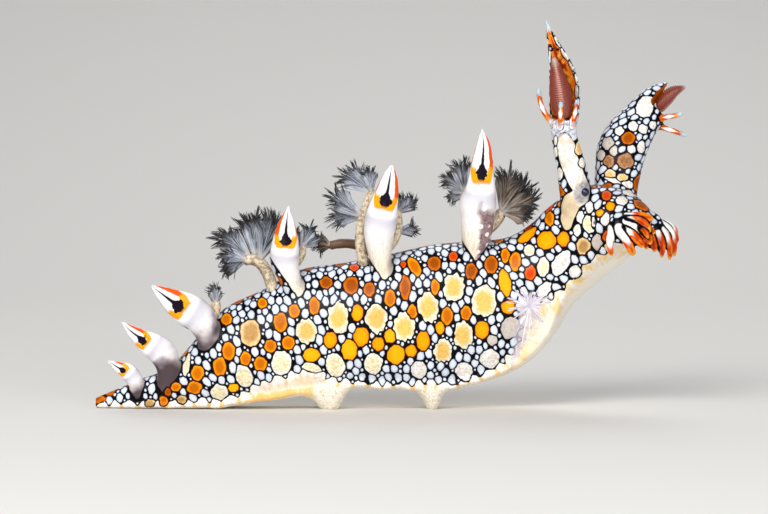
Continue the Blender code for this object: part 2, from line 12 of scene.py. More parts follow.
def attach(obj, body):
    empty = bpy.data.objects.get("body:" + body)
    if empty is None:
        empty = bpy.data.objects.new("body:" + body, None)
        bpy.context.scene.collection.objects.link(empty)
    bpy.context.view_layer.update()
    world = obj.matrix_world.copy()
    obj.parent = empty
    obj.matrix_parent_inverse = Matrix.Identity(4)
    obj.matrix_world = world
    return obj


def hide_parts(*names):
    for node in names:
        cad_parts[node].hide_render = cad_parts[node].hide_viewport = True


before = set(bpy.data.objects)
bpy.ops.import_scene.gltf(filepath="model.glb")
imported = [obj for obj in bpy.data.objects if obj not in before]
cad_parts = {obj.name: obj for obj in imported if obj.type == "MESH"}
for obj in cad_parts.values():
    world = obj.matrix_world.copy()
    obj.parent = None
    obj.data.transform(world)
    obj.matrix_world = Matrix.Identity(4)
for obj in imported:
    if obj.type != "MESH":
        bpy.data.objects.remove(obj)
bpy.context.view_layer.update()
MM = 0.001

# The view: a long lens level with the animal's middle and a little above it, from the animal's right.
# One millimetre of the animal is eight pixels of the picture.
MIDDLE = Vector((6.1, 0.0, 18.9)) * MM
EYE_POINT = Vector((6.1, -400.0, 36.0)) * MM
PICTURE_WIDTH = 96.0 * MM

view = bpy.data.cameras.new("view")
view.lens = view.sensor_width * (MIDDLE - EYE_POINT).length / PICTURE_WIDTH
view.clip_start = 0.01
camera = bpy.data.objects.new("view", view)
camera.location = EYE_POINT
camera.rotation_euler = (MIDDLE - EYE_POINT).to_track_quat("-Z", "Y").to_euler()
bpy.context.scene.collection.objects.link(camera)
bpy.context.scene.camera = camera
bpy.context.scene.view_settings.view_transform = "Standard"


# The studio: a pale matt sweep, bent up behind the animal in one soft curve, and three soft lamps.
# It is not part of the animal.
SWEEP_WIDTH = 3.0
SWEEP_BEND = 0.45

sweep_form = bmesh.new()
made = bmesh.ops.create_grid(sweep_form, x_segments=2, y_segments=60, size=1.0)
for corner in made["verts"]:
    along = (corner.co.y + 1.0) * 1.2 - 1.2
    rise = max(0.0, along - 0.25)
    turn = min(rise / SWEEP_BEND, math.pi / 2)
    beyond = max(0.0, rise - SWEEP_BEND * math.pi / 2)
    corner.co.x *= SWEEP_WIDTH / 2
    corner.co.y = min(along, 0.25) + SWEEP_BEND * math.sin(turn)
    corner.co.z = SWEEP_BEND * (1 - math.cos(turn)) + beyond
sweep_mesh = bpy.data.meshes.new("studio_sweep")
sweep_form.to_mesh(sweep_mesh)
sweep_form.free()
sweep_mesh.shade_smooth()
sweep = bpy.data.objects.new("studio_sweep", sweep_mesh)
bpy.context.scene.collection.objects.link(sweep)

paper = bpy.data.materials.new("studio_paper")
paper.use_nodes = True
paper.node_tree.nodes["Principled BSDF"].inputs["Base Color"].default_value = (0.8, 0.785, 0.76, 1)
paper.node_tree.nodes["Principled BSDF"].inputs["Roughness"].default_value = 0.9
sweep_mesh.materials.append(paper)


def soft_lamp(name, place, size, power, tint=(1, 1, 1)):
    """A square lamp that looks at the middle of the animal."""
    light = bpy.data.lights.new(name, "AREA")
    light.shape = "SQUARE"
    light.size = size
    light.energy = power
    light.color = tint
    lamp = bpy.data.objects.new(name, light)
    lamp.location = place
    lamp.rotation_euler = (MIDDLE - Vector(place)).to_track_quat("-Z", "Y").to_euler()
    bpy.context.scene.collection.objects.link(lamp)


soft_lamp("key_lamp", (-0.16, -0.42, 0.3), 0.26, 2.3, (1, 0.99, 0.97))
soft_lamp("fill_lamp", (0.26, -0.5, 0.08), 0.3, 1.5, (0.97, 0.99, 1))
soft_lamp("back_lamp", (0.05, 0.3, 0.4), 0.3, 0.8)

sky = bpy.data.worlds.new("studio_air")
sky.use_nodes = True
sky.node_tree.nodes["Background"].inputs["Color"].default_value = (0.85, 0.88, 0.92, 1)
sky.node_tree.nodes["Background"].inputs["Strength"].default_value = 0.26
bpy.context.scene.world = sky


# The body: one long soft form, pressed flat from the sides, from the tail tip to the lips.
# Each row is a cross-section in millimetres: top edge x, z, bottom edge x, z, half width,
# how far it lies to the left, how many degrees it turns to the right, and the foot's thickness.
BODY = (
    (-30.0, 1.3, -30.0, 0.0, 0.45, 0.0, 0, 0.55),
    (-27.5, 2.3, -27.6, 0.0, 1.2, 0.0, 0, 0.9),
    (-24.4, 3.6, -24.5, 0.0, 2.0, 0.0, 0, 1.0),
    (-20.6, 5.2, -21.0, 0.0, 2.8, 0.0, 0, 1.1),
    (-17.4, 8.7, -18.2, 0.0, 3.5, 0.0, 0, 1.2),
    (-13.8, 12.5, -14.6, 0.0, 4.3, 0.0, 0, 1.3),
    (-9.1, 14.8, -9.9, 0.7, 4.9, 0.0, 0, 1.4),
    (-4.4, 17.3, -4.8, 1.4, 5.3, 0.0, 0, 1.5),
    (1.2, 18.2, 1.0, 2.4, 5.5, 0.0, 0, 1.5),
    (6.9, 19.3, 6.9, 2.4, 5.6, 0.0, 0, 1.5),
    (12.5, 20.5, 12.8, 2.1, 5.6, 0.0, 0, 1.6),
    (17.9, 20.9, 18.9, 3.4, 5.5, 0.0, 1, 1.8),
    (21.6, 21.4, 23.6, 5.4, 5.2, 0.0, 3, 2.2),
    (24.4, 23.0, 26.9, 8.5, 4.9, -0.1, 8, 2.6),
    (26.8, 25.2, 29.3, 12.7, 4.7, -0.5, 17, 2.7),
    (29.4, 26.9, 31.5, 15.4, 4.7, -1.3, 29, 2.6),
    (32.1, 28.0, 33.5, 17.6, 4.8, -2.5, 41, 2.4),
    (34.8, 27.6, 35.5, 20.0, 4.4, -4.2, 48, 1.9),
    (37.0, 25.8, 36.9, 21.6, 3.2, -6.0, 50, 0.5),
    (38.2, 24.1, 38.0, 22.7, 1.1, -7.1, 50, 0.0),
)
BODY_FULLNESS = 0.9
BODY_SIDES = 44
BODY_STEP = 0.16


def smooth_row(rows, place):
    """The row at a place along a table of rows, on a smooth curve through them."""
    low = max(0, min(int(place), len(rows) - 2))
    f = place - low
    before, a = rows[max(low - 1, 0)], rows[low]
    b, after = rows[low + 1], rows[min(low + 2, len(rows) - 1)]
    return [
        0.5 * (2 * q + (r - p) * f + (2 * p - 5 * q + 4 * r - s) * f * f + (3 * q - p - 3 * r + s) * f**3)
        for p, q, r, s in zip(before, a, b, after)
    ]


def heading(rows, place, reach):
    """The direction along a table of rows that open with x, y and z, taken over a reach to each side."""
    ahead = Vector(smooth_row(rows, min(place + reach, len(rows) - 1))[:3])
    behind = Vector(smooth_row(rows, max(place - reach, 0))[:3])
    return (ahead - behind).normalized()


def body_section(place):
    """The middle, the left and up half sizes and the foot's thickness of a cross-section."""
    top_x, top_z, low_x, low_z, half_width, side, turn, foot = smooth_row(BODY, place)
    turn = math.radians(turn)
    sway = -(top_x - low_x) * math.tan(turn) / 2
    top = Vector((top_x, side + sway, top_z))
    low = Vector((low_x, side - sway, max(low_z, 0.0)))
    left = Vector((math.sin(turn), math.cos(turn), 0)) * half_width
    return (top + low) / 2, left, (top - low) / 2, foot


def add_ring(form, middle, across, deep, sides, fullness=1.0):
    """One closed ring of the form, with its two half sizes as vectors, and its edges."""
    made = bmesh.ops.create_circle(form, segments=sides, radius=1.0)
    for corner in made["verts"]:
        u, v = corner.co.x, corner.co.y
        u = math.copysign(abs(u) ** fullness, u)
        corner.co = (middle + across * u + deep * v) * MM
    return list({edge for corner in made["verts"] for edge in corner.link_edges})


def corners_of(ring):
    """The corners that a ring's edges join."""
    return {corner for edge in ring for corner in edge.verts}


def skin_rings(form, rings):
    """Bridges rings into one closed skin."""
    for near, far in zip(rings, rings[1:]):
        bmesh.ops.bridge_loops(form, edges=near + far)
    for end in (rings[0], rings[-1]):
        bmesh.ops.edgeloop_fill(form, edges=end)


def places(first, last, step):
    """Places from first to last, about step apart."""
    count = max(1, round((last - first) / step))
    return [first + (last - first) * i / count for i in range(count + 1)]


flesh_form = bmesh.new()
body_rings = []
for place in places(0.0, len(BODY) - 1, BODY_STEP):
    middle, left, up, foot = body_section(place)
    body_rings.append(add_ring(flesh_form, middle, left, up, BODY_SIDES, BODY_FULLNESS))
skin_rings(flesh_form, body_rings)


# The foot: a narrow cream sole with a soft wavy margin. It runs from the tail to a rounded lobe
# under the mouth, and lets itself down in two folds to hold on to what it crawls over.
FOOT_END = 17.0
FOOT_LOBE = 1.1
FOOT_STEP = 0.07
SOLE_SHARE = 0.62
FOOT_FLARE = 0.3
MARGIN_WAVE = 0.42
GRIPS = ((-0.2, 4.4, 2.6, 3.3), (12.2, 2.6, 2.0, 3.0))


def foot_drop(x):
    """How far the foot lets itself down at x."""
    drop = 0.0
    for middle, back, front, most in GRIPS:
        share = abs(x - middle) / (back if x < middle else front)
        if share < 1:
            drop = max(drop, most * math.cos(share * math.pi / 2) ** 2.6)
    return drop


foot_rings, margin_line = [], []
for place in places(0.0, FOOT_END, FOOT_STEP):
    middle, left, up, thick = body_section(place)
    thick = max(thick, 0.4)
    lobe = max(0.0, (place - FOOT_END + FOOT_LOBE) / FOOT_LOBE)
    angle = math.acos(max(-0.995, min(thick / up.length, 1.9) - 1.0))
    half = left.length * max(math.sin(angle) ** BODY_FULLNESS, SOLE_SHARE) + FOOT_FLARE
    half *= math.sqrt(max(0.06, 1 - lobe * lobe))
    left, up = left.normalized(), up.normalized()
    low = middle - body_section(place)[2]
    drop = foot_drop(low.x)
    foot_rings.append(add_ring(flesh_form, Vector(), Vector((1, 0, 0)), Vector((0, 1, 0)), 40, 0.8))
    for corner in corners_of(foot_rings[-1]):
        u, v = corner.co.x / MM, corner.co.y / MM
        turn = math.atan2(v, abs(u))
        side = math.copysign(1.0, u)
        wave = noise.noise(Vector((place * 2.1, side * 3.0, 0))) + 0.5 * noise.noise(
            Vector((place * 5, side, 4))
        )
        pleat = noise.noise(Vector((low.x * 1.7, side * 2.0, v))) * drop * 0.16
        height = thick * (0.5 + 0.5 * v) - drop * max(0.0, -v) ** 0.7
        height += wave * MARGIN_WAVE * u * u * min(1.0, place / 4) * (1 + max(0.0, place - 11) * 0.42)
        reach = half * u * (1 - 0.22 * max(0.0, -v) * min(1.0, drop)) * (1 + 0.06 * wave) + side * pleat
        corner.co = (low + up * height + left * reach) * MM
        if abs(u) > 0.96:
            margin_line.append(corner.co / MM)
skin_rings(flesh_form, foot_rings)


# The six upright processes along each side of the back. Each is a stalk that swells to a white bulb
# and ends in a pointed beak, flat on its outer face. Rows run from root to tip: x, z and half width.
PROCESSES = (
    (
        (17.1, 18.2, 1.3), (17.2, 19.8, 1.4), (17.5, 21.6, 1.9), (17.7, 24.1, 2.1),
        (17.7, 25.8, 2.3), (18.0, 27.3, 1.95), (18.1, 29.1, 1.6), (18.2, 31.0, 1.35),
        (18.3, 32.9, 0.95), (18.2, 34.2, 0.5), (18.1, 35.1, 0.13),
    ),
    (
        (6.0, 14.8, 1.2), (5.8, 16.6, 1.25), (5.6, 19.1, 1.45), (5.5, 22.0, 1.9),
        (5.8, 24.1, 2.0), (6.1, 25.6, 1.75), (6.5, 27.2, 1.5), (6.8, 28.9, 1.05),
        (7.0, 30.1, 0.5), (7.1, 30.9, 0.13),
    ),
    (
        (-4.1, 12.0, 1.1), (-4.6, 13.9, 1.15), (-5.6, 16.5, 1.4), (-6.2, 18.7, 1.8),
        (-6.1, 20.4, 1.75), (-6.0, 21.8, 1.5), (-5.9, 23.2, 1.15), (-5.75, 24.5, 0.6),
        (-5.6, 25.6, 0.13),
    ),
    (
        (-15.4, 6.0, 1.2), (-15.6, 7.8, 1.25), (-15.9, 9.7, 1.6), (-16.8, 11.5, 2.05),
        (-18.3, 12.6, 2.15), (-19.7, 13.5, 1.75), (-21.0, 14.4, 1.2), (-22.1, 15.2, 0.6),
        (-22.9, 15.9, 0.13),
    ),
    (
        (-20.9, 2.0, 1.1), (-20.9, 3.6, 1.2), (-20.8, 5.4, 1.5), (-21.4, 7.1, 1.8),
        (-22.7, 8.1, 1.65), (-24.1, 9.1, 1.2), (-25.5, 10.2, 0.65), (-26.5, 11.2, 0.13),
    ),
    (
        (-24.4, 1.2, 0.8), (-24.6, 2.4, 0.85), (-25.0, 3.7, 1.05), (-25.8, 4.7, 1.1),
        (-26.9, 5.3, 0.8), (-27.9, 5.9, 0.4), (-28.6, 6.3, 0.12),
    ),
)
PROCESS_LEAN = 0.3
PROCESS_ROOT_DROP = 2.0
STALK_DEPTH = 0.85
BEAK_DEPTH = 0.5
VIEW_CENTRE = (6.1, 36.0)
VIEW_FAR = 400.0
BEAK_LENGTHS = (7.6, 6.5, 5.8, 6.0, 4.8, 3.4)


def back_edge(x, drop):
    """How far from the middle plane the back's edge lies at x, drop below its top."""
    place = min((i / 20 for i in range(240)), key=lambda p: abs(smooth_row(BODY, p)[0] - x))
    middle, left, up, foot = body_section(place)
    angle = math.acos(max(0.0, 1 - drop / up.length))
    return abs(middle.y + left.y * math.sin(angle) ** BODY_FULLNESS)


def process_rows(number, side):
    """The middle and half sizes of a process from root to tip. side is -1 on the right, 1 on the left.

    The left ones stand a little further out, where the right ones hide them from the view.
    """
    rows = PROCESSES[number]
    drop = min(PROCESS_ROOT_DROP, 0.5 * rows[1][1])
    root_side = back_edge(rows[1][0], drop) - rows[1][2] * 0.5
    done = []
    for i, (x, z, half_width) in enumerate(rows):
        share = i / (len(rows) - 1)
        away = root_side + PROCESS_LEAN * (z - rows[1][1])
        hide = 2 * away / VIEW_FAR if side > 0 else 0.0
        depth = STALK_DEPTH + (BEAK_DEPTH - STALK_DEPTH) * max(0.0, min(1.0, (share - 0.45) * 4))
        x, z = x + (x - VIEW_CENTRE[0]) * hide, z + (z - VIEW_CENTRE[1]) * hide
        done.append((x, side * away, z, half_width, half_width * depth))
    return done


def row_frame(rows, place):
    """The middle, the direction along it, across and outwards of a process at a place."""
    here = smooth_row(rows, place)
    along = heading(rows, place, 0.2)
    deep = along.cross(Vector((1, 0, 0))).normalized()
    across = deep.cross(along).normalized()
    return Vector(here[:3]), along, across, deep, max(here[3], 0.08), max(here[4], 0.08)


processes = []
for side in (-1, 1):
    for number in range(len(PROCESSES)):
        rows = process_rows(number, side)
        processes.append((rows, side, BEAK_LENGTHS[number]))
        tip = Vector(rows[-1][:3])
        rings = []
        for place in places(0.0, len(rows) - 1, 0.16):
            middle, along, across, deep, half_width, half_depth = row_frame(rows, place)
            outward = deep if deep.y * side > 0 else -deep
            rings.append(add_ring(flesh_form, middle, across * half_width, outward * half_depth, 24, 0.9))
            beak = max(0.0, min(1.0, 1.15 - (middle - tip).length / BEAK_LENGTHS[number]))
            for corner in corners_of(rings[-1]):
                away = corner.co / MM - middle
                out, u = away.dot(outward) / half_depth, away.dot(across) / half_width
                if out > 0:
                    groove = 0.5 * math.exp(-((u / 0.3) ** 2)) * min(1.0, beak * 2)
                    corner.co -= outward * half_depth * out * groove * MM
        skin_rings(flesh_form, rings)


# The two smelling feelers' sheaths: a fleshy stalk with a cup at its top, a tall sail behind the cup
# and three papillae on its rim. Rows run from the root up: x, y, z and half width.
STALKS = {
    "right": (
        (29.8, -4.0, 25.0, 2.0), (29.8, -4.6, 26.6, 2.0), (29.5, -4.9, 28.6, 1.95), (29.2, -5.2, 30.3, 1.8),
        (28.7, -5.5, 32.1, 1.7), (28.3, -5.8, 33.9, 1.6), (28.2, -6.0, 35.1, 1.65), (28.2, -6.1, 36.0, 1.75),
    ),
    "left": (
        (35.1, -0.9, 26.0, 2.5), (35.1, -0.4, 28.0, 2.75), (35.4, 0.0, 30.2, 2.95), (35.8, 0.5, 32.2, 3.1),
        (36.8, 1.3, 34.1, 2.95), (38.3, 2.3, 36.0, 2.55), (39.5, 3.0, 37.4, 2.35),
    ),
}
SAILS = {
    "right": (
        (28.2, -5.9, 34.8, 1.5), (28.25, -6.0, 36.2, 1.85), (28.25, -6.2, 38.1, 2.05),
        (28.2, -6.5, 39.9, 2.0), (27.9, -6.8, 41.9, 1.75), (27.35, -7.1, 43.8, 1.28),
        (26.7, -7.3, 45.6, 0.8), (25.85, -7.6, 48.2, 0.3),
    ),
    "left": (
        (38.3, 2.2, 36.2, 1.9), (39.2, 2.8, 37.4, 2.1), (40.1, 3.4, 38.6, 1.8), (41.0, 4.0, 39.6, 1.2),
        (42.1, 4.7, 40.8, 0.2),
    ),
}
OPENING = {"right": Vector((-0.1, -1.0, 0.0)), "left": Vector((0.8, -0.35, -0.55))}
SAIL_THICKNESS = 0.55
SAIL_WRAP = 100
PAPILLAE = {
    "right": (
        ((26.9, -6.4, 35.4), (24.9, -7.6, 40.2), (-0.4, 0.0, -0.3)),
        ((27.7, -7.2, 35.2), (27.7, -8.6, 38.4), (0.0, 0.0, 0.0)),
        ((29.1, -7.0, 35.3), (29.7, -8.1, 38.7), (0.1, 0.0, -0.1)),
    ),
    "left": (
        ((39.6, 1.6, 36.3), (43.8, 1.6, 36.9), (0.0, 0.0, -0.2)),
        ((39.2, 2.6, 35.4), (44.4, 2.9, 33.9), (0.0, 0.0, 0.2)),
        ((40.4, 4.2, 36.2), (43.4, 5.9, 36.6), (0.0, 0.0, 0.0)),
    ),
}
PAPILLA_RADIUS = 0.42


def sail_frame(side, place):
    """The middle, the direction along it, across and to the front of a sail, and its half width."""
    rows = SAILS[side]
    here = smooth_row(rows, place)
    along = heading(rows, place, 0.4)
    front = (OPENING[side] - along * OPENING[side].dot(along)).normalized()
    return Vector(here[:3]), along, along.cross(front), front, max(here[3], 0.15)


def add_sail(side):
    """The sail: rings bent round the cup, as thick at the fold and thinner to the rim."""
    rings = []
    for place in places(0.0, len(SAILS[side]) - 1, 0.2):
        middle, along, across, front, half_width = sail_frame(side, place)
        thick = min(SAIL_THICKNESS, half_width * 0.8)
        rings.append(add_ring(flesh_form, Vector(), Vector((1, 0, 0)), Vector((0, 1, 0)), 36))
        for corner in corners_of(rings[-1]):
            u, v = corner.co.x / MM, corner.co.y / MM
            u = math.copysign(abs(u) ** 0.8, u)
            angle = math.radians(SAIL_WRAP) * u
            radius = half_width - thick / 2 + v * thick / 2
            corner.co = (middle + across * radius * math.sin(angle) - front * radius * math.cos(angle)) * MM
    skin_rings(flesh_form, rings)


def add_spike(root, tip, radius, bend=Vector()):
    """A round finger with a blunt tip."""
    along = (tip - root).normalized()
    across = along.orthogonal().normalized()
    deep = along.cross(across)
    rings = []
    for share in places(0.0, 1.0, 0.07):
        blunt = math.sqrt(max(0.04, 1 - max(0.0, (share - 0.88) / 0.12) ** 2))
        size = radius * (1.0 - 0.2 * share**2) * blunt
        middle = root.lerp(tip, share) + bend * math.sin(share * math.pi)
        rings.append(add_ring(flesh_form, middle, across * size, deep * size, 14))
    skin_rings(flesh_form, rings)


for side in ("right", "left"):
    rings = []
    for place in places(0.0, len(STALKS[side]) - 1, 0.2):
        *here, half_width = smooth_row(STALKS[side], place)
        here = Vector(here)
        along = heading(STALKS[side], place, 0.3)
        deep = along.cross(Vector((1, 0, 0))).normalized()
        across = deep.cross(along).normalized()
        rings.append(add_ring(flesh_form, here, across * half_width, deep * half_width * 0.85, 32))
    skin_rings(flesh_form, rings)
    add_sail(side)
    for root, tip, bend in PAPILLAE[side]:
        add_spike(Vector(root), Vector(tip), PAPILLA_RADIUS, Vector(bend))


# The oral tentacles: a lobe on each side of the mouth with a hand of soft fingers on it.
LOBES = {"right": Vector((34.9, -8.0, 22.6)), "left": Vector((39.2, -4.1, 22.6))}
LOBE_SIZE = (1.5, 1.3, 2.1)
FINGERS = {
    "right": (
        ((-0.9, -0.4, 0.2), (-1.0, -1.7, -3.3), (-0.3, -0.2, 0.0), 0.5, 0.68),
        ((-0.1, -0.7, 0.3), (1.7, -2.3, -3.2), (-0.1, -0.4, 0.3), 0.62, 0.62),
        ((0.8, -0.6, 0.9), (3.9, -2.2, -1.8), (0.1, -0.4, 0.5), 0.62, 0.5),
        ((1.0, -0.5, 1.2), (3.7, -2.6, 0.1), (0.1, -0.2, 0.4), 0.5, 0.3),
        ((0.8, 0.0, 1.5), (4.2, -1.4, 1.3), (0.0, -0.1, 0.4), 0.5, 0.35),
        ((0.5, -1.0, 0.1), (2.8, -3.1, -2.2), (0.0, -0.3, 0.3), 0.48, 0.45),
        ((1.2, 0.2, 1.0), (4.4, -2.0, -0.6), (0.2, -0.2, 0.5), 0.42, 0.2),
        ((1.4, -0.4, 0.6), (3.4, -3.2, -0.9), (0.2, -0.3, 0.3), 0.4, 0.25),
    ),
    "left": (
        ((0.3, 0.2, 1.0), (2.9, 0.6, -3.7), (0.9, 0.0, 0.8), 0.5, 0.6),
        ((0.2, -0.1, 0.6), (2.2, -0.7, -4.1), (0.7, -0.1, 0.5), 0.5, 0.55),
        ((0.0, -0.4, 0.2), (1.2, -1.4, -3.7), (0.4, -0.2, 0.3), 0.5, 0.4),
        ((-0.4, -0.4, 0.0), (0.3, -1.8, -3.0), (0.0, -0.2, 0.2), 0.45, 0.3),
        ((0.4, 0.6, 1.0), (3.3, 1.9, -2.3), (0.9, 0.2, 0.7), 0.48, 0.55),
        ((-0.8, -0.2, -0.4), (-0.7, -1.4, -2.6), (-0.1, -0.2, 0.0), 0.42, 0.5),
    ),
}

for side in ("right", "left"):
    middle = LOBES[side]
    made = bmesh.ops.create_icosphere(flesh_form, subdivisions=3, radius=1.0)
    for corner in made["verts"]:
        corner.co = (middle + Vector(a * b for a, b in zip(corner.co, LOBE_SIZE))) * MM
    for root, tip, bend, radius, white in FINGERS[side]:
        add_spike(middle + Vector(root), middle + Vector(tip), radius, Vector(bend))


# The skin: all the flesh fused into one soft surface with no seam. It lies flat where the sole
# rests on the floor.
SKIN_GRAIN = 0.25

bmesh.ops.recalc_face_normals(flesh_form, faces=flesh_form.faces)
skin_mesh = bpy.data.meshes.new("skin")
flesh_form.to_mesh(skin_mesh)
flesh_form.free()
skin = bpy.data.objects.new("skin", skin_mesh)
bpy.context.scene.collection.objects.link(skin)
fuse = skin.modifiers.new("fuse", "REMESH")
fuse.mode = "VOXEL"
fuse.voxel_size = SKIN_GRAIN * MM
fused = bpy.data.meshes.new_from_object(skin.evaluated_get(bpy.context.evaluated_depsgraph_get()))
skin.modifiers.clear()
skin_form = bmesh.new()
skin_form.from_mesh(fused)
bpy.data.meshes.remove(fused)
for turn in range(3):
    bmesh.ops.smooth_vert(
        skin_form, verts=skin_form.verts, factor=0.5, use_axis_x=True, use_axis_y=True, use_axis_z=True
    )
for corner in skin_form.verts:
    corner.co.z = max(corner.co.z, 0.0)
skin_form.to_mesh(skin_mesh)
skin_tree = BVHTree.FromBMesh(skin_form)
skin_form.free()
skin_mesh.shade_smooth()
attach(skin, "root")
flesh_nodes = ["head", "body_front", "body_middle", "body_rear", "body_tail"]
flesh_nodes += ["foot_front", "foot_middle", "foot_tail"]
for side in ("right", "left"):
    flesh_nodes += [f"oral_tentacle_{side}", f"rhinophore_sheath_{side}"]
    flesh_nodes += [f"process_{side}_{number}" for number in range(1, 7)]
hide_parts(*flesh_nodes)


# The skin's pattern: a mosaic of coloured cells with black lines between them. Every cell is a small
# oval with its own middle and tangent axes. The processes, the foot, the fingers and the sails are
# fields of the same mosaic, each with its own measure of how far a point lies outside it.

# The colours of each kind's centre and rim, from nought to 255. The number of a kind also shapes the
# outlines of its cells, so kinds that have no cells left (smoke, sand and window) keep their places.
COLOURS = {
    "pearl": ((228, 234, 246), (200, 209, 230)),
    "smoke": ((150, 155, 168), (120, 125, 140)),
    "gold": ((252, 186, 14), (254, 170, 6)),
    "amber": ((255, 172, 0), (252, 150, 0)),
    "orange": ((208, 108, 0), (246, 154, 0)),
    "burnt": ((164, 76, 0), (216, 112, 0)),
    "ember": ((212, 62, 4), (236, 104, 10)),
    "custard": ((244, 200, 104), (252, 246, 226)),
    "cream": ((250, 240, 200), (250, 248, 240)),
    "tan": ((186, 138, 72), (240, 214, 158)),
    "peach": ((250, 200, 120), (248, 232, 200)),
    "ash": ((212, 206, 200), (200, 196, 196)),
    "umber": ((150, 98, 60), (180, 132, 96)),
    "sand": ((222, 196, 150), (244, 232, 204)),
    "window": ((168, 160, 160), (200, 192, 186)),
    "chalk": ((250, 248, 244), (242, 242, 246)),
    "foot": ((250, 226, 170), (250, 226, 170)),
    "process": ((250, 240, 212), (250, 240, 212)),
    "finger": ((246, 244, 240), (246, 244, 240)),
    "papilla": ((236, 120, 20), (236, 120, 20)),
    "sail": ((236, 110, 16), (236, 110, 16)),
    "collar": ((222, 222, 228), (190, 192, 204)),
    "dusk": ((250, 240, 212), (250, 240, 212)),
    "patch": ((250, 246, 238), (250, 246, 238)),
    "dotted": ((250, 240, 212), (250, 240, 212)),
}
KINDS = tuple(COLOURS)


def read_all(items, name, width, kind=np.float64):
    """One value of all the items of a mesh, as rows of an array."""
    values = np.empty(len(items) * width, dtype=kind)
    items.foreach_get(name, values)
    return values.reshape(-1, width) if width > 1 else values


def tree_of(places):
    """A search tree that finds the nearest of the places."""
    tree = KDTree(len(places))
    for i, place in enumerate(places):
        tree.insert(place, i)
    tree.balance()
    return tree


skin_count = len(skin_mesh.vertices)
points = read_all(skin_mesh.vertices, "co", 3) / MM
normals = read_all(skin_mesh.vertex_normals, "vector", 3)
face_count = len(skin_mesh.polygons)
face_middles = read_all(skin_mesh.polygons, "center", 3) / MM
face_sizes = read_all(skin_mesh.polygons, "loop_total", 1, np.int32)
loop_points = read_all(skin_mesh.loops, "vertex_index", 1, np.int32)
loop_faces = np.repeat(np.arange(face_count), face_sizes)

point_tree = tree_of(points)
face_tree = tree_of(face_middles)

FAR = 9.0
fields = []
skin_along = np.zeros((skin_count, 3))
skin_nearness = np.full(skin_count, 0.35)


def add_field(kind, indices, outside, along, keep):
    """A field of the mosaic: how far each kept skin point lies outside it, and where along its piece."""
    indices, outside, along = indices[keep], outside[keep], along[keep]
    measure = np.full(skin_count, FAR)
    measure[indices] = outside
    for older_kind, older in fields:
        older[indices] = np.maximum(older[indices], -outside)
    fields.append((KINDS.index(kind), measure))
    nearer = outside < skin_nearness[indices]
    skin_along[indices[nearer]] = along[nearer]
    skin_nearness[indices[nearer]] = outside[nearer]


def near_box(stops, spare):
    """The skin points within a box round the stops."""
    stops = np.array(stops)
    low, high = stops.min(axis=0) - spare, stops.max(axis=0) + spare
    return np.flatnonzero(np.all((points > low) & (points < high), axis=1))


def nearest_stops(indices, middles):
    """For each skin point the nearest of the middles, and the vector from that middle to it."""
    away = points[indices][:, None, :] - middles[None, :, :]
    nearest = np.argmin((away**2).sum(axis=2), axis=1)
    return nearest, away[np.arange(len(indices)), nearest]


# The picture is 768 by 514 points, eight to a millimetre of the animal's middle plane.
POINTS_A_MM = 8
ORIGIN_COLUMN = 335
FLOOR_LINE = 408


def seen_at(column, line):
    """The place on the skin that the eye point sees at a point of the picture."""
    target = Vector((column - ORIGIN_COLUMN, 0, FLOOR_LINE - line)) / POINTS_A_MM * MM
    found = skin_tree.ray_cast(EYE_POINT, (target - EYE_POINT).normalized())
    return found[0] / MM if found[0] else None


# Below the first three processes their cream runs down the flank to a point: where it ends in the
# picture. The rim of each beak is wider on one side.
ROOT_POINTS = ((476, 262), (386, 283), (300, 300))
WIDE_RIM = (1, 1, -1, 1, 1, 1)

for number, (rows, side, beak_length) in enumerate(processes):
    number %= len(PROCESSES)
    stops = [row_frame(rows, place) for place in places(0.0, len(rows) - 1, 0.12)]
    middles, alongs, acrosses, outs, half_widths, half_depths = map(np.array, zip(*stops))
    outs = np.where(outs[:, 1:2] * side > 0, outs, -outs)
    lengths = np.linalg.norm(np.diff(middles, axis=0), axis=1)
    from_tip = np.append(np.cumsum(lengths[::-1])[::-1], 0.0)
    indices = near_box(middles, 4.0)
    nearest, away = nearest_stops(indices, middles)
    up = (away * alongs[nearest]).sum(axis=1)
    u = (away * acrosses[nearest]).sum(axis=1) / half_widths[nearest]
    out = (away * outs[nearest]).sum(axis=1) / half_depths[nearest]
    outside = (np.hypot(u, out) - 1.12) * half_widths[nearest]
    outside = np.where(nearest == 0, np.maximum(outside, -up), outside)
    if number < len(ROOT_POINTS):
        point = seen_at(*ROOT_POINTS[number])
        under = point.z + 1.5 * np.abs(points[indices, 0] - point.x) - points[indices, 2]
        outside = np.maximum(outside, under / 1.8)
    beak = (from_tip[nearest] - up) / beak_length
    # The rear three processes are of a kind whose lower stalks are darkened, partly as painted shade.
    kind = "dotted" if number == 0 else "process" if number < 3 else "dusk"
    along = np.stack((beak, u * WIDE_RIM[number], out), axis=1)
    add_field(kind, indices, outside, along, outside < 1.5)


def finger_field(kind, root, tip, radius, bend=Vector(), white=0.0):
    """The field of one finger or papilla: the share of its length from the root, and across it."""
    shares = places(0.0, 1.0, 0.03)
    middles = np.array([root.lerp(tip, share) + bend * math.sin(share * math.pi) for share in shares])
    across = np.array((tip - root).cross(Vector((0, 1, 0))).normalized())
    indices = near_box(middles, 1.2)
    nearest, away = nearest_stops(indices, middles)
    share = nearest / (len(middles) - 1) - white
    outside = np.linalg.norm(away, axis=1) - radius * 1.12
    along = np.stack((share, away @ across / radius, share + white), axis=1)
    add_field(kind, indices, outside, along, outside < 1.0)


ends = [Vector(row[:3]) for row in STALKS["right"][-3:]]
middles = np.array([ends[0].lerp(ends[2], share) for share in places(0.3, 1.0, 0.1)])
indices = near_box(middles, 2.6)
nearest, away = nearest_stops(indices, middles)
outside = np.linalg.norm(away, axis=1) - STALKS["right"][-2][3] * 1.06
add_field("collar", indices, outside, np.tile((0.5, 0.0, 0.0), (len(indices), 1)), outside < 1.0)

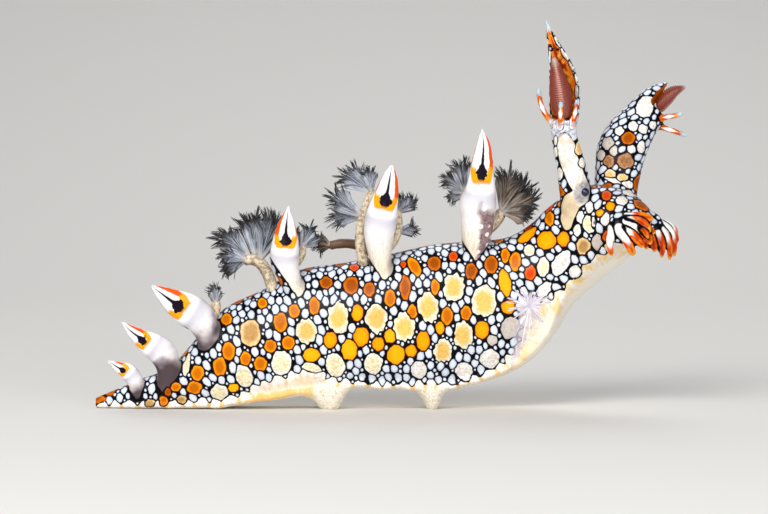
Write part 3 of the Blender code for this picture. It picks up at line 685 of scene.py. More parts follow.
for side in ("right", "left"):
    for root, tip, bend, radius, white in FINGERS[side]:
        ends = LOBES[side] + Vector(root), LOBES[side] + Vector(tip)
        finger_field("finger", *ends, radius, Vector(bend), white)
    for root, tip, bend in PAPILLAE[side]:
        finger_field("papilla", Vector(root), Vector(tip), PAPILLA_RADIUS, Vector(bend))

    # The inside of the sail, and the pale collar under it.
    stops = [sail_frame(side, place) for place in places(0.0, len(SAILS[side]) - 1, 0.12)]
    middles, alongs, acrosses, fronts, half_widths = map(np.array, zip(*stops))
    indices = near_box(middles, 2.6)
    nearest, away = nearest_stops(indices, middles)
    sideways = (away * acrosses[nearest]).sum(axis=1)
    forward = (away * fronts[nearest]).sum(axis=1)
    radius = np.hypot(sideways, forward)
    wall = half_widths[nearest] - np.minimum(SAIL_THICKNESS, half_widths[nearest] * 0.8) / 2
    angle = np.arctan2(sideways, -forward) / math.radians(SAIL_WRAP)
    to_rim = (1.0 - np.abs(angle)) * math.radians(SAIL_WRAP) * half_widths[nearest]
    outer = np.maximum(radius - wall, to_rim)
    outside = np.where(
        np.abs(angle) < 1.0, np.where(radius > wall, outer, radius - wall), 0.15 + np.abs(radius - wall)
    )
    if side == "right":
        outside = np.maximum(outside, (angle - 0.7) * math.radians(SAIL_WRAP) * half_widths[nearest])
    share = nearest / (len(stops) - 1)
    outside = np.where(share > 0.92, -0.4, outside)
    along = np.stack((share, angle, wall - radius), axis=1)
    add_field("sail", indices, outside, along, (outside < 1.5) & (nearest > 0))

# On the right stalk a long white patch runs down past the clear window of the eye into a sandy one:
# column, line and half width in points of the picture.
PATCH = (
    (564, 139, 7), (566, 148, 10), (568, 159, 10), (572, 169, 10), (577, 180, 10), (583, 189, 9.5),
    (581, 196, 9), (571, 202, 9.5), (568, 209, 10), (567, 217, 8.5), (567, 225, 5.5),
)
EYES = {"right": Vector((30.8, -5.95, 27.15)), "left": Vector((36.9, 1.1, 27.8))}
EYE_RADIUS = 0.56

stops = []
for near, far in zip(PATCH, PATCH[1:]):
    for share in places(0.0, 1.0, 0.2):
        column, line, half = (a + (b - a) * share for a, b in zip(near, far))
        found = seen_at(column, line)
        if found:
            stops.append((*found, half / POINTS_A_MM))
middles = np.array(stops)[:, :3]
indices = near_box(middles, 2.5)
away = np.linalg.norm(points[indices][:, None, :] - middles[None, :, :], axis=2) - np.array(stops)[:, 3]
nearest = np.argmin(away, axis=1)
outside = away[np.arange(len(indices)), nearest]
to_eye = np.linalg.norm(points[indices] - np.array(EYES["right"]), axis=1)
along = np.stack((nearest / (len(stops) - 1), to_eye, outside), axis=1)
add_field("patch", indices, outside, along, (outside < 1.0) & (points[indices, 0] < 33))

# The upper edge of the cream foot, as it is seen from the right. The left one is its mirror image
# across the body's middle plane, and both meet under the mouth.
FOOT_EDGE = (
    (96, 404), (125, 404), (150, 404), (175, 403), (200, 401), (222, 400), (240, 396), (260, 384), (275, 379),
    (290, 375), (300, 371), (315, 371), (330, 379), (350, 383), (380, 384), (400, 385), (430, 382),
    (450, 386), (470, 380), (490, 372), (500, 365), (512, 354), (519, 345), (522, 330), (526, 312),
    (538, 304), (550, 299), (567, 286), (585, 266), (600, 255), (608, 251),
)
body_stops = [body_section(place) for place in places(0.0, len(BODY) - 1, 0.05)]
body_tree = tree_of([stop[0] for stop in body_stops])
right_edge = []
for near, far in zip(FOOT_EDGE, FOOT_EDGE[1:]):
    for share in places(0.0, 1.0, 0.05):
        found = seen_at(near[0] + (far[0] - near[0]) * share, near[1] + (far[1] - near[1]) * share)
        if found:
            right_edge.append(found)
left_edge = []
for point in right_edge:
    stop = body_stops[body_tree.find(point)[1]]
    across = stop[1].normalized()
    mirrored = point - across * 2 * (point - stop[0]).dot(across)
    mirrored += stop[2].normalized() * min(1.2, max(0.0, (point.x - 18) * 0.15))
    left_edge.append(skin_tree.find_nearest(mirrored * MM)[0] / MM)
edge_line = right_edge + left_edge[::-1]
edge_tree = tree_of(edge_line)
edge_ups, edge_runs = [], []
for line in (right_edge, left_edge[::-1]):
    run = 0.0
    for i, point in enumerate(line):
        run += (point - line[max(i - 1, 0)]).length
        ahead = line[min(i + 4, len(line) - 1)] - line[max(i - 4, 0)]
        surface = skin_tree.find_nearest(point * MM)[1]
        edge_ups.append(surface.cross(ahead).normalized())
        edge_runs.append(run)
FACING = Vector((0.64, -0.77, 0.0))
CHIN_HEIGHT = 20.6
CHIN_REACH = 25.9
margin_tree = tree_of(margin_line)
outside = np.full(skin_count, FAR)
runs = np.zeros(skin_count)
to_margin = np.full(skin_count, FAR)
for i in np.flatnonzero(points[:, 2] < 24):
    here = Vector(points[i])
    point, nearest, distance = edge_tree.find(here)
    away = here - point
    below = away.z < -0.2 if here.x > 20 else away.z < -0.6 or normals[i][2] < -0.85 and distance > 0.8
    side = -1 if below or away.dot(edge_ups[nearest]) <= 0 else 1
    runs[i] = edge_runs[nearest] + 0.9 * noise.noise(point * 0.35)
    wave = 0.75 * (0.5 - abs(math.sin(runs[i] * 1.75))) + noise.noise(here * 0.9) * 0.25
    to_margin[i] = margin_tree.find(here)[2]
    if here.x > 30 and here.dot(FACING) > CHIN_REACH:
        outside[i] = here.z - CHIN_HEIGHT + wave
    else:
        outside[i] = side * min(distance, 3.0) + wave
# The fingers hang in front of the foot, and its margin has a thin amber line.
for kind, measure in fields:
    if kind == KINDS.index("finger"):
        outside = np.maximum(outside, -measure)
along = np.stack((outside, runs, to_margin), axis=1)
add_field("foot", np.arange(skin_count), outside, along, outside < 3.0)

# The marks that the eye sees from the right, as they were measured: column, line and two
# half sizes in points of the picture, and for some a tilt in degrees.
MARKS = {
    "orange": (
        (226, 319, 5, 6), (262, 303, 4.5, 5), (228, 351, 6, 9), (219, 367, 6, 9), (197, 373, 6, 7.5),
        (194, 388, 7, 6), (175, 387, 5, 4), (163, 401, 4, 5), (294, 311, 5, 6.5), (314, 306, 5, 8),
        (280, 322, 6.5, 9.5), (245, 359, 5, 6.5), (260, 364, 6, 7), (270, 346, 5.5, 6),
        (288, 343, 6, 6.5), (390, 298, 5, 8.5), (412, 312, 4.5, 7), (435, 287, 4, 7),
        (447, 316, 5.5, 8.5), (466, 313, 5, 7), (505, 255, 4, 7), (515, 261, 5, 9), (549, 218, 4, 7),
        (414, 266, 5, 10, -28),
    ),
    "burnt": (
        (326, 282, 6, 6), (351, 285, 7, 8.5), (369, 289, 5, 7), (434, 263, 6, 7), (471, 271, 5.5, 8),
        (491, 264, 6, 8.5), (405, 287, 5, 12), (627.5, 138, 6.5, 6), (167, 392, 3, 4),
    ),
    "ember": (
        (453, 256, 4, 4.5), (354, 267, 4.5, 3), (403, 264, 2.5, 3), (606, 195, 4.5, 4.5),
        (530, 273, 5, 7),
    ),
    "amber": (
        (330, 340, 6, 8), (357, 313, 5, 8), (361, 337, 7, 9.5), (378, 344, 5.5, 6.5), (423, 341, 6, 10),
        (440, 328, 4, 6), (411, 351, 5, 6), (482, 330, 6.5, 8.5), (508, 307, 6.5, 6.5), (546, 240, 9, 9),
        (563, 239, 5.5, 7), (610, 206, 4, 4), (600, 213, 3.5, 3.5), (527, 235, 4, 11, 52),
    ),
    "gold": (
        (311, 355, 8, 6.5), (349, 350, 7.5, 10), (390, 336, 5.5, 6.5), (396, 355, 8, 9.5),
        (505, 283, 5.5, 13, -12), (233, 388, 5, 4),
    ),
    "custard": (
        (306, 331, 10, 12), (338, 318, 10, 15), (376, 318, 10, 14), (404, 327, 10.5, 13.5),
        (428, 307, 10, 14.5), (454, 287, 10.5, 13.5), (484, 301, 11.5, 16), (463, 335, 9.5, 13),
        (443, 351, 9, 11),
    ),
    "tan": ((250, 333, 10, 14), (181, 400, 5, 4), (149, 404, 5, 3.5), (583, 246, 6.5, 8)),
    "cream": (
        (281, 363, 10, 11.5), (244, 377, 8, 11, -20), (219, 393, 8.5, 7.5), (335, 366, 9, 11.5, -15),
        (373, 364, 9, 10.5), (311, 368, 10, 4.2, 14), (529, 250, 5, 5.5), (543, 267, 5.5, 9.5),
        (588, 224, 5.5, 9, -12), (186, 365, 3.2, 11, 12),
    ),
    "chalk": (
        (419, 370, 7.5, 8.5), (464, 371, 8.5, 8), (490, 359, 9.5, 9), (561, 263, 7.5, 13, 28),
        (575, 272, 6, 6), (544, 290, 5.5, 9, 40), (580, 217, 3.5, 5.5), (589, 207, 3.5, 5.5),
        (577, 230, 3.5, 5.5), (582, 162.5, 3.2, 4.8), (559, 174, 2.8, 6), (555, 140, 2, 5),
        (555, 152, 2, 5), (644, 107, 8.5, 11, 20), (632.5, 126, 4.5, 4.5), (619, 131, 4.5, 4),
        (642.5, 129, 4.5, 4.5), (652.5, 125, 3.2, 4), (631, 149, 3.8, 3.8), (641, 147, 3.5, 6),
        (605, 219, 4, 6), (630, 193, 7.5, 4.5, 20), (622, 200, 5.5, 4.5), (612, 180, 8, 2.2, 20),
        (628, 184, 6, 3, 25), (592, 223, 3, 6), (557, 42, 1.8, 5.5, -30), (564, 55, 2.8, 6.5, -30),
        (570.5, 66, 2.4, 5, -26), (576.5, 79, 2.3, 5, -12), (576, 92, 2.8, 6.5, 2), (549, 57, 1.4, 7, 0),
    ),
    "peach": ((579, 148, 3.2, 7), (609.5, 174, 5, 4.2), (622.5, 177.5, 5, 4.2)),
    "ash": (
        (510, 328, 8.5, 11, 18), (492, 340, 5, 5), (597, 242, 5, 7.5), (607, 143, 5.5, 6),
        (613, 150, 4, 5), (600, 155, 4, 5),
    ),
    "umber": ((625, 161, 8, 7), (608, 161, 5, 6)),
}
MOST_STRETCH = 2.2

cells = []
clear = np.full(skin_count, FAR)
for kind, measure in fields:
    clear = np.minimum(clear, measure)


def cell_measure(cell, positions):
    """How far positions lie outside a cell, their offsets in its own sizes, and its local size."""
    middle, across, up, surface = cell[:4]
    away = positions - middle
    offsets = np.stack((away @ across, away @ up), axis=1)
    flat = np.sqrt(np.maximum((away**2).sum(axis=1) - (away @ surface) ** 2, 1e-12))
    length = np.maximum(np.hypot(offsets[:, 0], offsets[:, 1]), 1e-6)
    return (length - 1) * flat / length, offsets, flat / length


def add_cell(kind, middle, surface, half_across, half_up, chance, carve=False):
    """Puts one oval cell on the skin. The half sizes are vectors that lie in the skin."""
    middle, surface = np.array(middle), np.array(surface)
    a, b = np.array(half_across), np.array(half_up)
    aa, ab, bb = a @ a, a @ b, b @ b
    room = max(aa * bb - ab * ab, 1e-9)
    across, up = (a * bb - b * ab) / room, (b * aa - a * ab) / room
    reach = math.sqrt(max(aa, bb)) + 0.75
    code = KINDS.index(kind) + 0.15 + 0.7 * chance.random()
    cell = (middle, across, up, surface, reach, code)
    found = np.array([item[1] for item in point_tree.find_range(middle, reach)], dtype=np.int64)
    if len(found):
        found = found[normals[found] @ surface > 0.0]
        outside = cell_measure(cell, points[found])[0]
        clear[found] = np.minimum(clear[found], outside)
        if carve:
            for field_kind, measure in fields:
                measure[found] = np.maximum(measure[found], -outside)
    cells.append(cell)


def surface_at(middle, towards):
    """The mean direction of the skin round a place."""
    found = [item[1] for item in point_tree.find_range(middle, 0.9)]
    facing = normals[found][normals[found] @ np.array(towards) < 0]
    return Vector(facing.sum(axis=0)).normalized() if len(facing) else -Vector(towards)


def add_mark(kind, middle, sight, mark, chance):
    """Puts a measured mark on the skin so that it looks its own size along the line of sight."""
    surface = surface_at(middle, sight)
    tilt = math.radians(mark[4] if len(mark) > 4 else 0)
    right, above = Vector((1, 0, 0)), Vector((0, 0, 1))
    halves = []
    for seen in (
        (right * math.cos(tilt) - above * math.sin(tilt)) * (mark[2] / POINTS_A_MM),
        (above * math.cos(tilt) + right * math.sin(tilt)) * (mark[3] / POINTS_A_MM),
    ):
        laid = seen - sight * (seen.dot(surface) / min(sight.dot(surface), -0.2))
        laid -= surface * laid.dot(surface)
        if laid.length > seen.length * MOST_STRETCH:
            laid *= seen.length * MOST_STRETCH / laid.length
        halves.append(laid)
    add_cell(kind, middle, surface, halves[0], halves[1], chance, True)


chance = random.Random(11)
NEIGHBOURS = {"orange": "amber", "amber": "orange", "gold": "amber", "burnt": "orange", "cream": "custard"}
for kind, marks in MARKS.items():
    for mark in marks:
        middle = seen_at(mark[0], mark[1])
        if middle is None:
            continue
        sight = (middle - EYE_POINT / MM).normalized()
        add_mark(kind, middle, sight, mark, chance)
        x, z = middle.x + chance.uniform(-0.5, 0.5), middle.z + chance.uniform(-0.3, 0.3)
        if x > 25:
            continue
        found = skin_tree.ray_cast(Vector((x, 60, z)) * MM, Vector((0, -1, 0)))
        if found[0]:
            other = NEIGHBOURS.get(kind, kind) if chance.random() < 0.35 else kind
            add_mark(other, found[0] / MM, Vector((0, -1, 0)), mark, chance)

# The rest of the skin fills up with smaller and smaller cells. Where the measured marks can't be
# seen, larger coloured ones come first.
CELL_GAP = 0.17
body_axes = []
for near, far in zip(body_stops, body_stops[1:] + [body_stops[-1]]):
    body_axes.append((far[0] - near[0]).normalized() if far is not near else body_axes[-1])
FILLING = (
    (1.05, 1.25, 0.5, ("amber", "custard", "cream", "orange")),
    (0.6, 1.4, 0.35, ("orange", "burnt", "ember", "burnt", "cream")),
    (0.42, 1.5, 0.0, ("pearl",)),
    (0.34, 1.55, 0.0, ("pearl",)),
    (0.26, 1.5, 0.0, ("pearl",)),
    (0.18, 1.3, 0.0, ("pearl",)),
    (0.12, 1.2, 0.0, ("pearl",)),
)
mottle = np.array([noise.noise(Vector(point) * 1.3) for point in points])
hidden = (normals[:, 1] > 0.3) | (points[:, 0] > 37)
ridge = normals[:, 1] > -0.2
on_body = (points[:, 2] < 29) & ~((points[:, 0] < 24) & (points[:, 2] > 22))
fill_chance = random.Random(23)
for radius, stretch, spread, kinds in FILLING:
    need = radius + CELL_GAP
    free = clear >= need
    if spread:
        free &= (hidden if radius > 1 else ridge) & on_body & (clear >= need + 0.1)
    while True:
        score = np.where(free & (clear >= need), clear + mottle * (0.12 + spread), np.inf)
        best = int(np.argmin(score))
        if not math.isfinite(score[best]):
            break
        middle, surface = Vector(points[best]), Vector(normals[best])
        axis = body_axes[min(body_tree.find(middle)[1], len(body_axes) - 1)]
        if middle.z > 27.5 and middle.x > 26:
            axis = Vector((1, 0, 0)) if middle.x < 33 else Vector((0.7, 0, -0.7))
        up = surface.cross(axis)
        if up.length < 0.2:
            up = surface.cross(Vector((0, 1, 0)))
        up = Matrix.Rotation(fill_chance.uniform(-0.3, 0.3), 3, surface) @ up.normalized()
        across = up.cross(surface)
        size = radius * fill_chance.uniform(0.92, 1.0)
        longer = stretch * fill_chance.uniform(0.85, 1.15)
        kind = fill_chance.choice(kinds)
        if spread:
            free[[item[1] for item in point_tree.find_range(middle, radius * 3.4)]] = False
            if middle.z - body_stops[body_tree.find(middle)[1]][0].z > 0 and kind in ("cream", "custard"):
                kind = "burnt"
        add_cell(kind, middle, surface, across * size, up * size * longer, fill_chance)
        clear[best] = -1.0

# Each face of the skin keeps its three nearest cells or fields. Its corners keep where they lie in
# each, so that the lines between the cells can be drawn far finer than the faces are.
best_outside = np.full((face_count, 3), FAR)
best_cell = np.full((face_count, 3), -1, dtype=np.int64)


def offer(faces, outside, number):
    """Keeps a cell or field for the faces that it is near enough to."""
    for place in range(3):
        nearer = outside < best_outside[faces, place]
        held_outside = best_outside[faces, place].copy()
        held_cell = best_cell[faces, place].copy()
        best_outside[faces, place] = np.where(nearer, outside, held_outside)
        best_cell[faces, place] = np.where(nearer, number, held_cell)
        outside = np.where(nearer, held_outside, outside)
        number = np.where(nearer, held_cell, number)


face_normals = np.zeros((face_count, 3))
np.add.at(face_normals, loop_faces, normals[loop_points])
for number, cell in enumerate(cells):
    faces = np.array([item[1] for item in face_tree.find_range(cell[0], cell[4])], dtype=np.int64)
    if len(faces):
        faces = faces[face_normals[faces] @ cell[3] > 0.0]
        offer(faces, cell_measure(cell, face_middles[faces])[0], np.full(len(faces), number))
for number, (kind, measure) in enumerate(fields):
    sums = np.zeros(face_count)
    np.add.at(sums, loop_faces, measure[loop_points])
    middle_measure = sums / face_sizes
    faces = np.flatnonzero(middle_measure < 1.0)
    offer(faces, middle_measure[faces], np.full(len(faces), len(cells) + number))

cell_middles, cell_acrosses, cell_ups, cell_surfaces, reaches, cell_codes = map(np.array, zip(*cells))
field_kinds, field_measures = map(np.array, zip(*fields))
codes = np.concatenate((cell_codes, field_kinds + 0.5, [0.0]))
loop_codes = np.zeros((len(loop_points), 3))


def add_layer(name, domain, values):
    """Keeps three values at each point or corner of the skin, for its material to read."""
    layer = skin_mesh.attributes.new(name, "FLOAT_VECTOR", domain)
    layer.data.foreach_set("vector", values.astype(np.float32).ravel())


for place in range(3):
    chosen = best_cell[loop_faces, place]
    corner = points[loop_points]
    values = np.tile((3.0, 0.0, 1.0), (len(loop_points), 1))
    is_cell = (chosen >= 0) & (chosen < len(cells))
    picked = chosen[is_cell]
    away = corner[is_cell] - cell_middles[picked]
    q = np.stack(((away * cell_acrosses[picked]).sum(1), (away * cell_ups[picked]).sum(1)), axis=1)
    above = (away * cell_surfaces[picked]).sum(1)
    flat = np.sqrt(np.maximum((away**2).sum(1) - above**2, 1e-12))
    values[is_cell, 0:2] = q
    values[is_cell, 2] = flat / np.maximum(np.hypot(q[:, 0], q[:, 1]), 1e-6)
    is_field = chosen >= len(cells)
    measure = field_measures[chosen[is_field] - len(cells), loop_points[is_field]]
    values[is_field, 0] = np.clip(measure + 1.0, 0.0, 4.0)
    loop_codes[:, place] = codes[chosen]
    add_layer(f"cell_{place + 1}", "CORNER", values)
add_layer("cell_kinds", "CORNER", loop_codes)
add_layer("along", "POINT", skin_along)

# The skin's material draws the mosaic. It knows the three nearest cells of each face, and mixes
# their colours with black lines between them.
BLACK = (3, 3, 7)


def shade(colour):
    """A colour given from nought to 255, as light."""
    parts = [part / 255 for part in colour]
    return [p / 12.92 if p <= 0.04045 else ((p + 0.055) / 1.055) ** 2.4 for p in parts] + [1.0]


class Value:
    """A value that a material works out at each point of its surface, to be used in plain sums."""

    def __init__(self, paint, socket):
        self.paint = paint
        self.socket = socket

    def __add__(self, other):
        return self.paint.sum("ADD", self, other)

    def __radd__(self, other):
        return self.paint.sum("ADD", other, self)

    def __sub__(self, other):
        return self.paint.sum("SUBTRACT", self, other)

    def __rsub__(self, other):
        return self.paint.sum("SUBTRACT", other, self)

    def __mul__(self, other):
        return self.paint.sum("MULTIPLY", self, other)

    def __truediv__(self, other):
        return self.paint.sum("DIVIDE", self, other)

    def __lt__(self, other):
        return self.paint.sum("LESS_THAN", self, other)

    def __gt__(self, other):
        return self.paint.sum("GREATER_THAN", self, other)

    def __abs__(self):
        return self.paint.sum("ABSOLUTE", self)


class Paint:
    """Builds a material's nodes as sums and mixes."""

    def __init__(self, name):
        self.material = bpy.data.materials.new(name)
        self.material.use_nodes = True
        self.tree = self.material.node_tree
        self.skin = self.tree.nodes["Principled BSDF"]
        self.place = Value(self, self.tree.nodes.new("ShaderNodeTexCoord").outputs["Object"])

    def put(self, socket, value):
        if isinstance(value, Value):
            self.tree.links.new(value.socket, socket)
        else:
            socket.default_value = value

    def sum(self, way, *values):
        node = self.tree.nodes.new("ShaderNodeMath")
        node.operation = way
        for socket, value in zip(node.inputs, values):
            self.put(socket, value)
        return Value(self, node.outputs[0])

    def lower(self, first, second):
        return self.sum("MINIMUM", first, second)

    def higher(self, first, second):
        return self.sum("MAXIMUM", first, second)

    def distance(self, x, y):
        return self.sum("SQRT", x * x + y * y)

    def step(self, value, low, high):
        node = self.tree.nodes.new("ShaderNodeMapRange")
        node.interpolation_type = "SMOOTHSTEP"
        for socket, part in zip(node.inputs, (value, low, high, 0.0, 1.0)):
            self.put(socket, part)
        return Value(self, node.outputs[0])

    def mix(self, share, first, second):
        node = self.tree.nodes.new("ShaderNodeMix")
        node.data_type = "RGBA"
        self.put(node.inputs[0], share)
        for socket, colour in zip(node.inputs[6:8], (first, second)):
            self.put(socket, shade(colour) if isinstance(colour, tuple) else colour)
        return Value(self, node.outputs[2])

    def parts(self, value):
        node = self.tree.nodes.new("ShaderNodeSeparateXYZ")
        self.put(node.inputs[0], value)
        return [Value(self, socket) for socket in node.outputs]

    def vector(self, *values):
        node = self.tree.nodes.new("ShaderNodeCombineXYZ")
        for socket, value in zip(node.inputs, values):
            self.put(socket, value)
        return Value(self, node.outputs[0])

    def layer(self, name):
        node = self.tree.nodes.new("ShaderNodeAttribute")
        node.attribute_type = "GEOMETRY"
        node.attribute_name = name
        return Value(self, node.outputs["Vector"])

    def grain(self, place, scale, detail=2.0, rough=0.5):
        node = self.tree.nodes.new("ShaderNodeTexNoise")
        self.put(node.inputs["Vector"], place)
        node.inputs["Scale"].default_value = scale
        node.inputs["Detail"].default_value = detail
        node.inputs["Roughness"].default_value = rough
        return Value(self, node.outputs["Fac"])

    def specks(self, scale, low, high, *rest):
        return self.step(self.grain(self.place, scale, *rest), low, high)

    def spots(self, place, scale):
        node = self.tree.nodes.new("ShaderNodeTexVoronoi")
        self.put(node.inputs["Vector"], place)
        node.inputs["Scale"].default_value = scale
        return Value(self, node.outputs["Distance"])

    def ramp(self, value, stops):
        node = self.tree.nodes.new("ShaderNodeValToRGB")
        node.color_ramp.interpolation = "CONSTANT"
        marks = node.color_ramp.elements
        while len(marks) < len(stops):
            marks.new(1.0)
        for mark, (position, colour) in zip(marks, stops):
            mark.position = position
            mark.color = shade(colour)
        self.put(node.inputs[0], value)
        return Value(self, node.outputs[0])

    def surface(self, colour, finish):
        self.put(self.skin.inputs["Base Color"], colour)
        for name, value in finish.items():
            self.skin.inputs[name].default_value = value


paint = Paint("skin_mosaic")
kind_1, kind_2, kind_3 = paint.parts(paint.layer("cell_kinds"))
lengths, measures = [], []
for place, kind in ((1, kind_1), (2, kind_2), (3, kind_3)):
    x, y, size = paint.parts(paint.layer(f"cell_{place}"))
    length = paint.distance(x, y)
    # No cell is a true oval, and custard ones have lobed edges.
    around = paint.vector(x / length, y / length, kind * 13.7)
    bulge = paint.grain(around, 1.3, 1.0) - 0.5
    first = kind > float(KINDS.index("custard"))
    last = kind < float(KINDS.index("custard") + 1)
    lobe = (paint.grain(around, 2.3, 0.0) - 0.5) * (first * last)
    lengths.append(length)
    length = length - (bulge * 0.5 + lobe * 0.5)
    measures.append((length - 1.0) * size)
a, b, c = measures
least_ab, most_ab = paint.lower(a, b), paint.higher(a, b)
nearest = paint.lower(least_ab, c)
second = paint.higher(least_ab, paint.lower(most_ab, c))
b_first = b < a
c_first = c < least_ab


def pick(values):
    """The value that belongs to the nearest of the three cells."""
    one, two, three = values
    first = one + (two - one) * b_first
    return first + (three - first) * c_first


kind = pick((kind_1, kind_2, kind_3))
depth = pick(lengths)
wobble = (paint.grain(paint.place, 1400.0) - 0.5) * 0.12


def is_kind(*names):
    """One where the nearest cell is of one of these kinds."""
    found = 0.0
    for name in names:
        low = kind > float(KINDS.index(name))
        found = found + low * (kind < float(KINDS.index(name) + 1))
    return found


# Black lines a fifth of a millimetre wide, and next to none round the softer fields.
HALF_LINE = 0.1
soft = is_kind("papilla", "collar", "patch")
line_width = HALF_LINE - soft * 0.085
between = (second - nearest) * 0.5 - line_width
edge = paint.lower(between, 0.03 - nearest)
inside = paint.step(edge + wobble, -0.03, 0.04)

MOST_KINDS = 32
share = kind / MOST_KINDS
centres = paint.ramp(share, [(i / MOST_KINDS, COLOURS[name][0]) for i, name in enumerate(KINDS)])
rims = paint.ramp(share, [(i / MOST_KINDS, COLOURS[name][1]) for i, name in enumerate(KINDS)])
blotch = paint.grain(paint.place, 900.0, 3.0)
blotched = depth + (blotch - 0.5) * 0.7
rimward = paint.step(blotched, 0.5, 1.0)
colour = paint.mix(rimward, centres, rims)
fleck = paint.specks(3000.0, 0.47, 0.6, 3.0, 0.7)
flecked = is_kind("custard", "cream", "tan", "chalk", "peach", "ash", "umber")
colour = paint.mix(fleck * flecked * 0.5, colour, (204, 164, 108))

# The processes: an outer face with two white lobes, a black midline that widens to a blot, a
# red-orange rim and an orange cup, above a white bulb and a cream stalk with lilac sides.
beak, u, out = paint.parts(paint.layer("along"))
fine = paint.grain(paint.place, 1500.0, 3.0) - 0.5
coarse = paint.grain(paint.place, 350.0, 2.0) - 0.5
beak_w = beak + fine * 0.06
u_w = u + fine * 0.14
width = abs(u_w)
outer = paint.step(out, -0.1, 0.25)
cream = paint.mix(paint.step(beak_w, 1.3, 2.2), (250, 248, 250), (247, 236, 212))
streak_place = paint.vector(u * 3.0, beak * 2.2, out * 3.0)
streaks = paint.step(paint.grain(streak_place, 2.2, 4.0, 0.7), 0.5, 0.66)
streaks = streaks * paint.step(beak_w, 1.1, 1.7)
cream = paint.mix(streaks * 0.42, cream, (206, 178, 146))
lilac_share = paint.step(width + coarse, 0.45, 0.95) * paint.step(beak, 1.5, 2.2)
stalk = paint.mix(lilac_share * 0.7, cream, (158, 138, 142))
stalk = paint.mix((1.0 - outer) * 0.35, stalk, (170, 150, 140))
blush = paint.step(beak_w, 1.0, 1.12) * (1.0 - paint.step(beak_w, 1.1, 1.4))
stalk = paint.mix(blush * 0.5, stalk, (170, 160, 182))
# The first one is lilac-brown with white dots on the side of its stalk towards the head.
dotted = paint.step(u + coarse, -0.05, 0.3) * paint.step(beak + coarse, 1.2, 1.5)
dots = paint.step(paint.spots(paint.place, 1050.0), 0.4, 0.28)
dotted_colour = paint.mix(dots, paint.mix(fleck, (164, 138, 140), (118, 92, 100)), (250, 246, 244))
stalk = paint.mix(dotted * is_kind("dotted"), stalk, dotted_colour)
# The face of the beak: two white lobes, an orange cup below them, and the black midline.
face = paint.mix(paint.step(beak_w, 0.0, 0.08), (210, 190, 190), (250, 249, 252))
rim = paint.higher(paint.step(u_w, 0.56, 0.66), paint.step(u_w, -0.84, -0.92))
face = paint.mix(rim, face, (234, 88, 10))
cup_x = u_w / 0.92
cup_y = (beak_w - 0.62) / 0.38
cup = paint.distance(cup_x, cup_y)
cup_ring = paint.step(cup, 0.52, 0.62) * paint.step(beak_w, 0.62, 0.7)
face = paint.mix(
    cup_ring, face, paint.mix(paint.step(beak + fine * 0.2, 0.84, 0.98), (255, 168, 4), (238, 104, 4))
)
line_low = paint.step(beak, 0.05, 0.65) * 0.09
blot = paint.step(beak, 0.58, 0.74) * (1.0 - paint.step(beak, 0.76, 0.9))
line_half = 0.05 + line_low + blot * (0.3 + fine)
line = 1.0 - paint.step(width - line_half, -0.05, 0.05)
line = line * (1.0 - paint.step(beak_w, 0.84, 0.9))
line = line * paint.step(beak_w, 0.04, 0.1)
face = paint.mix(line, face, (22, 10, 26))
in_face = 1.0 - paint.step(paint.higher(cup, beak_w / 0.9), 0.98, 1.06)
in_beak = 1.0 - paint.step(beak_w, 0.58, 0.64)
on_face = paint.higher(in_face, in_beak) * outer
process_colour = paint.mix(on_face, stalk, face)
# The rear three processes darken below the bulb, to lilac and then dark brown: partly their own colour,
# partly painted shade on their lower stalks.
lilac = paint.step(beak + coarse, 1.32, 1.65) * is_kind("dusk")
process_colour = paint.mix(lilac * 0.8, process_colour, (176, 160, 170))
dusk_shade_share = paint.step(beak + coarse, 1.45, 1.8) * is_kind("dusk")
process_colour = paint.mix(dusk_shade_share * 0.92, process_colour, (70, 54, 58))
colour = paint.mix(is_kind("process", "dusk", "dotted"), colour, process_colour)

# Fingers: white roots, red-orange ends with a dark stripe, and a yellow cap.
across_it = abs(u + coarse * 0.6)
finger_share = paint.step(beak + across_it * 0.3, 0.02, 0.2)
finger_end = paint.mix(paint.specks(1100.0, 0.42, 0.62), (226, 70, 4), (250, 128, 10))
finger_colour = paint.mix(finger_share, (248, 246, 242), finger_end)
finger_dark = paint.step(abs(across_it - 0.1), 0.22, 0.05) * 0.85
finger_dark = paint.higher(finger_dark, paint.step(across_it, 0.75, 1.05)) * paint.step(beak, -0.1, 0.12)
finger_colour = paint.mix(finger_dark * 0.8, finger_colour, (128, 26, 6))
finger_cap = paint.step(out + fine * 0.2, 0.86, 0.96)
finger_colour = paint.mix(finger_cap, finger_colour, (252, 172, 52))
colour = paint.mix(is_kind("finger"), colour, finger_colour)
# Papillae: orange with a white middle, and a speckled pale collar under them.
papilla_colour = paint.mix(paint.specks(1100.0, 0.4, 0.6), (206, 84, 8), (246, 138, 20))
spot = 1.0 - paint.step(across_it + abs(beak - 0.52) * 3.0, 0.5, 0.75)
papilla_colour = paint.mix(spot, papilla_colour, (244, 246, 250))
papilla_colour = paint.mix(paint.step(beak + fine * 0.4, 0.72, 0.84), papilla_colour, (182, 208, 218))
collar_colour = paint.mix(paint.specks(1500.0, 0.42, 0.62, 3.0, 0.6), (232, 234, 242), (160, 164, 184))
papilla_colour = paint.mix(paint.step(beak, 0.24, 0.08), papilla_colour, collar_colour)
colour = paint.mix(is_kind("papilla"), colour, papilla_colour)
colour = paint.mix(is_kind("collar"), colour, collar_colour)
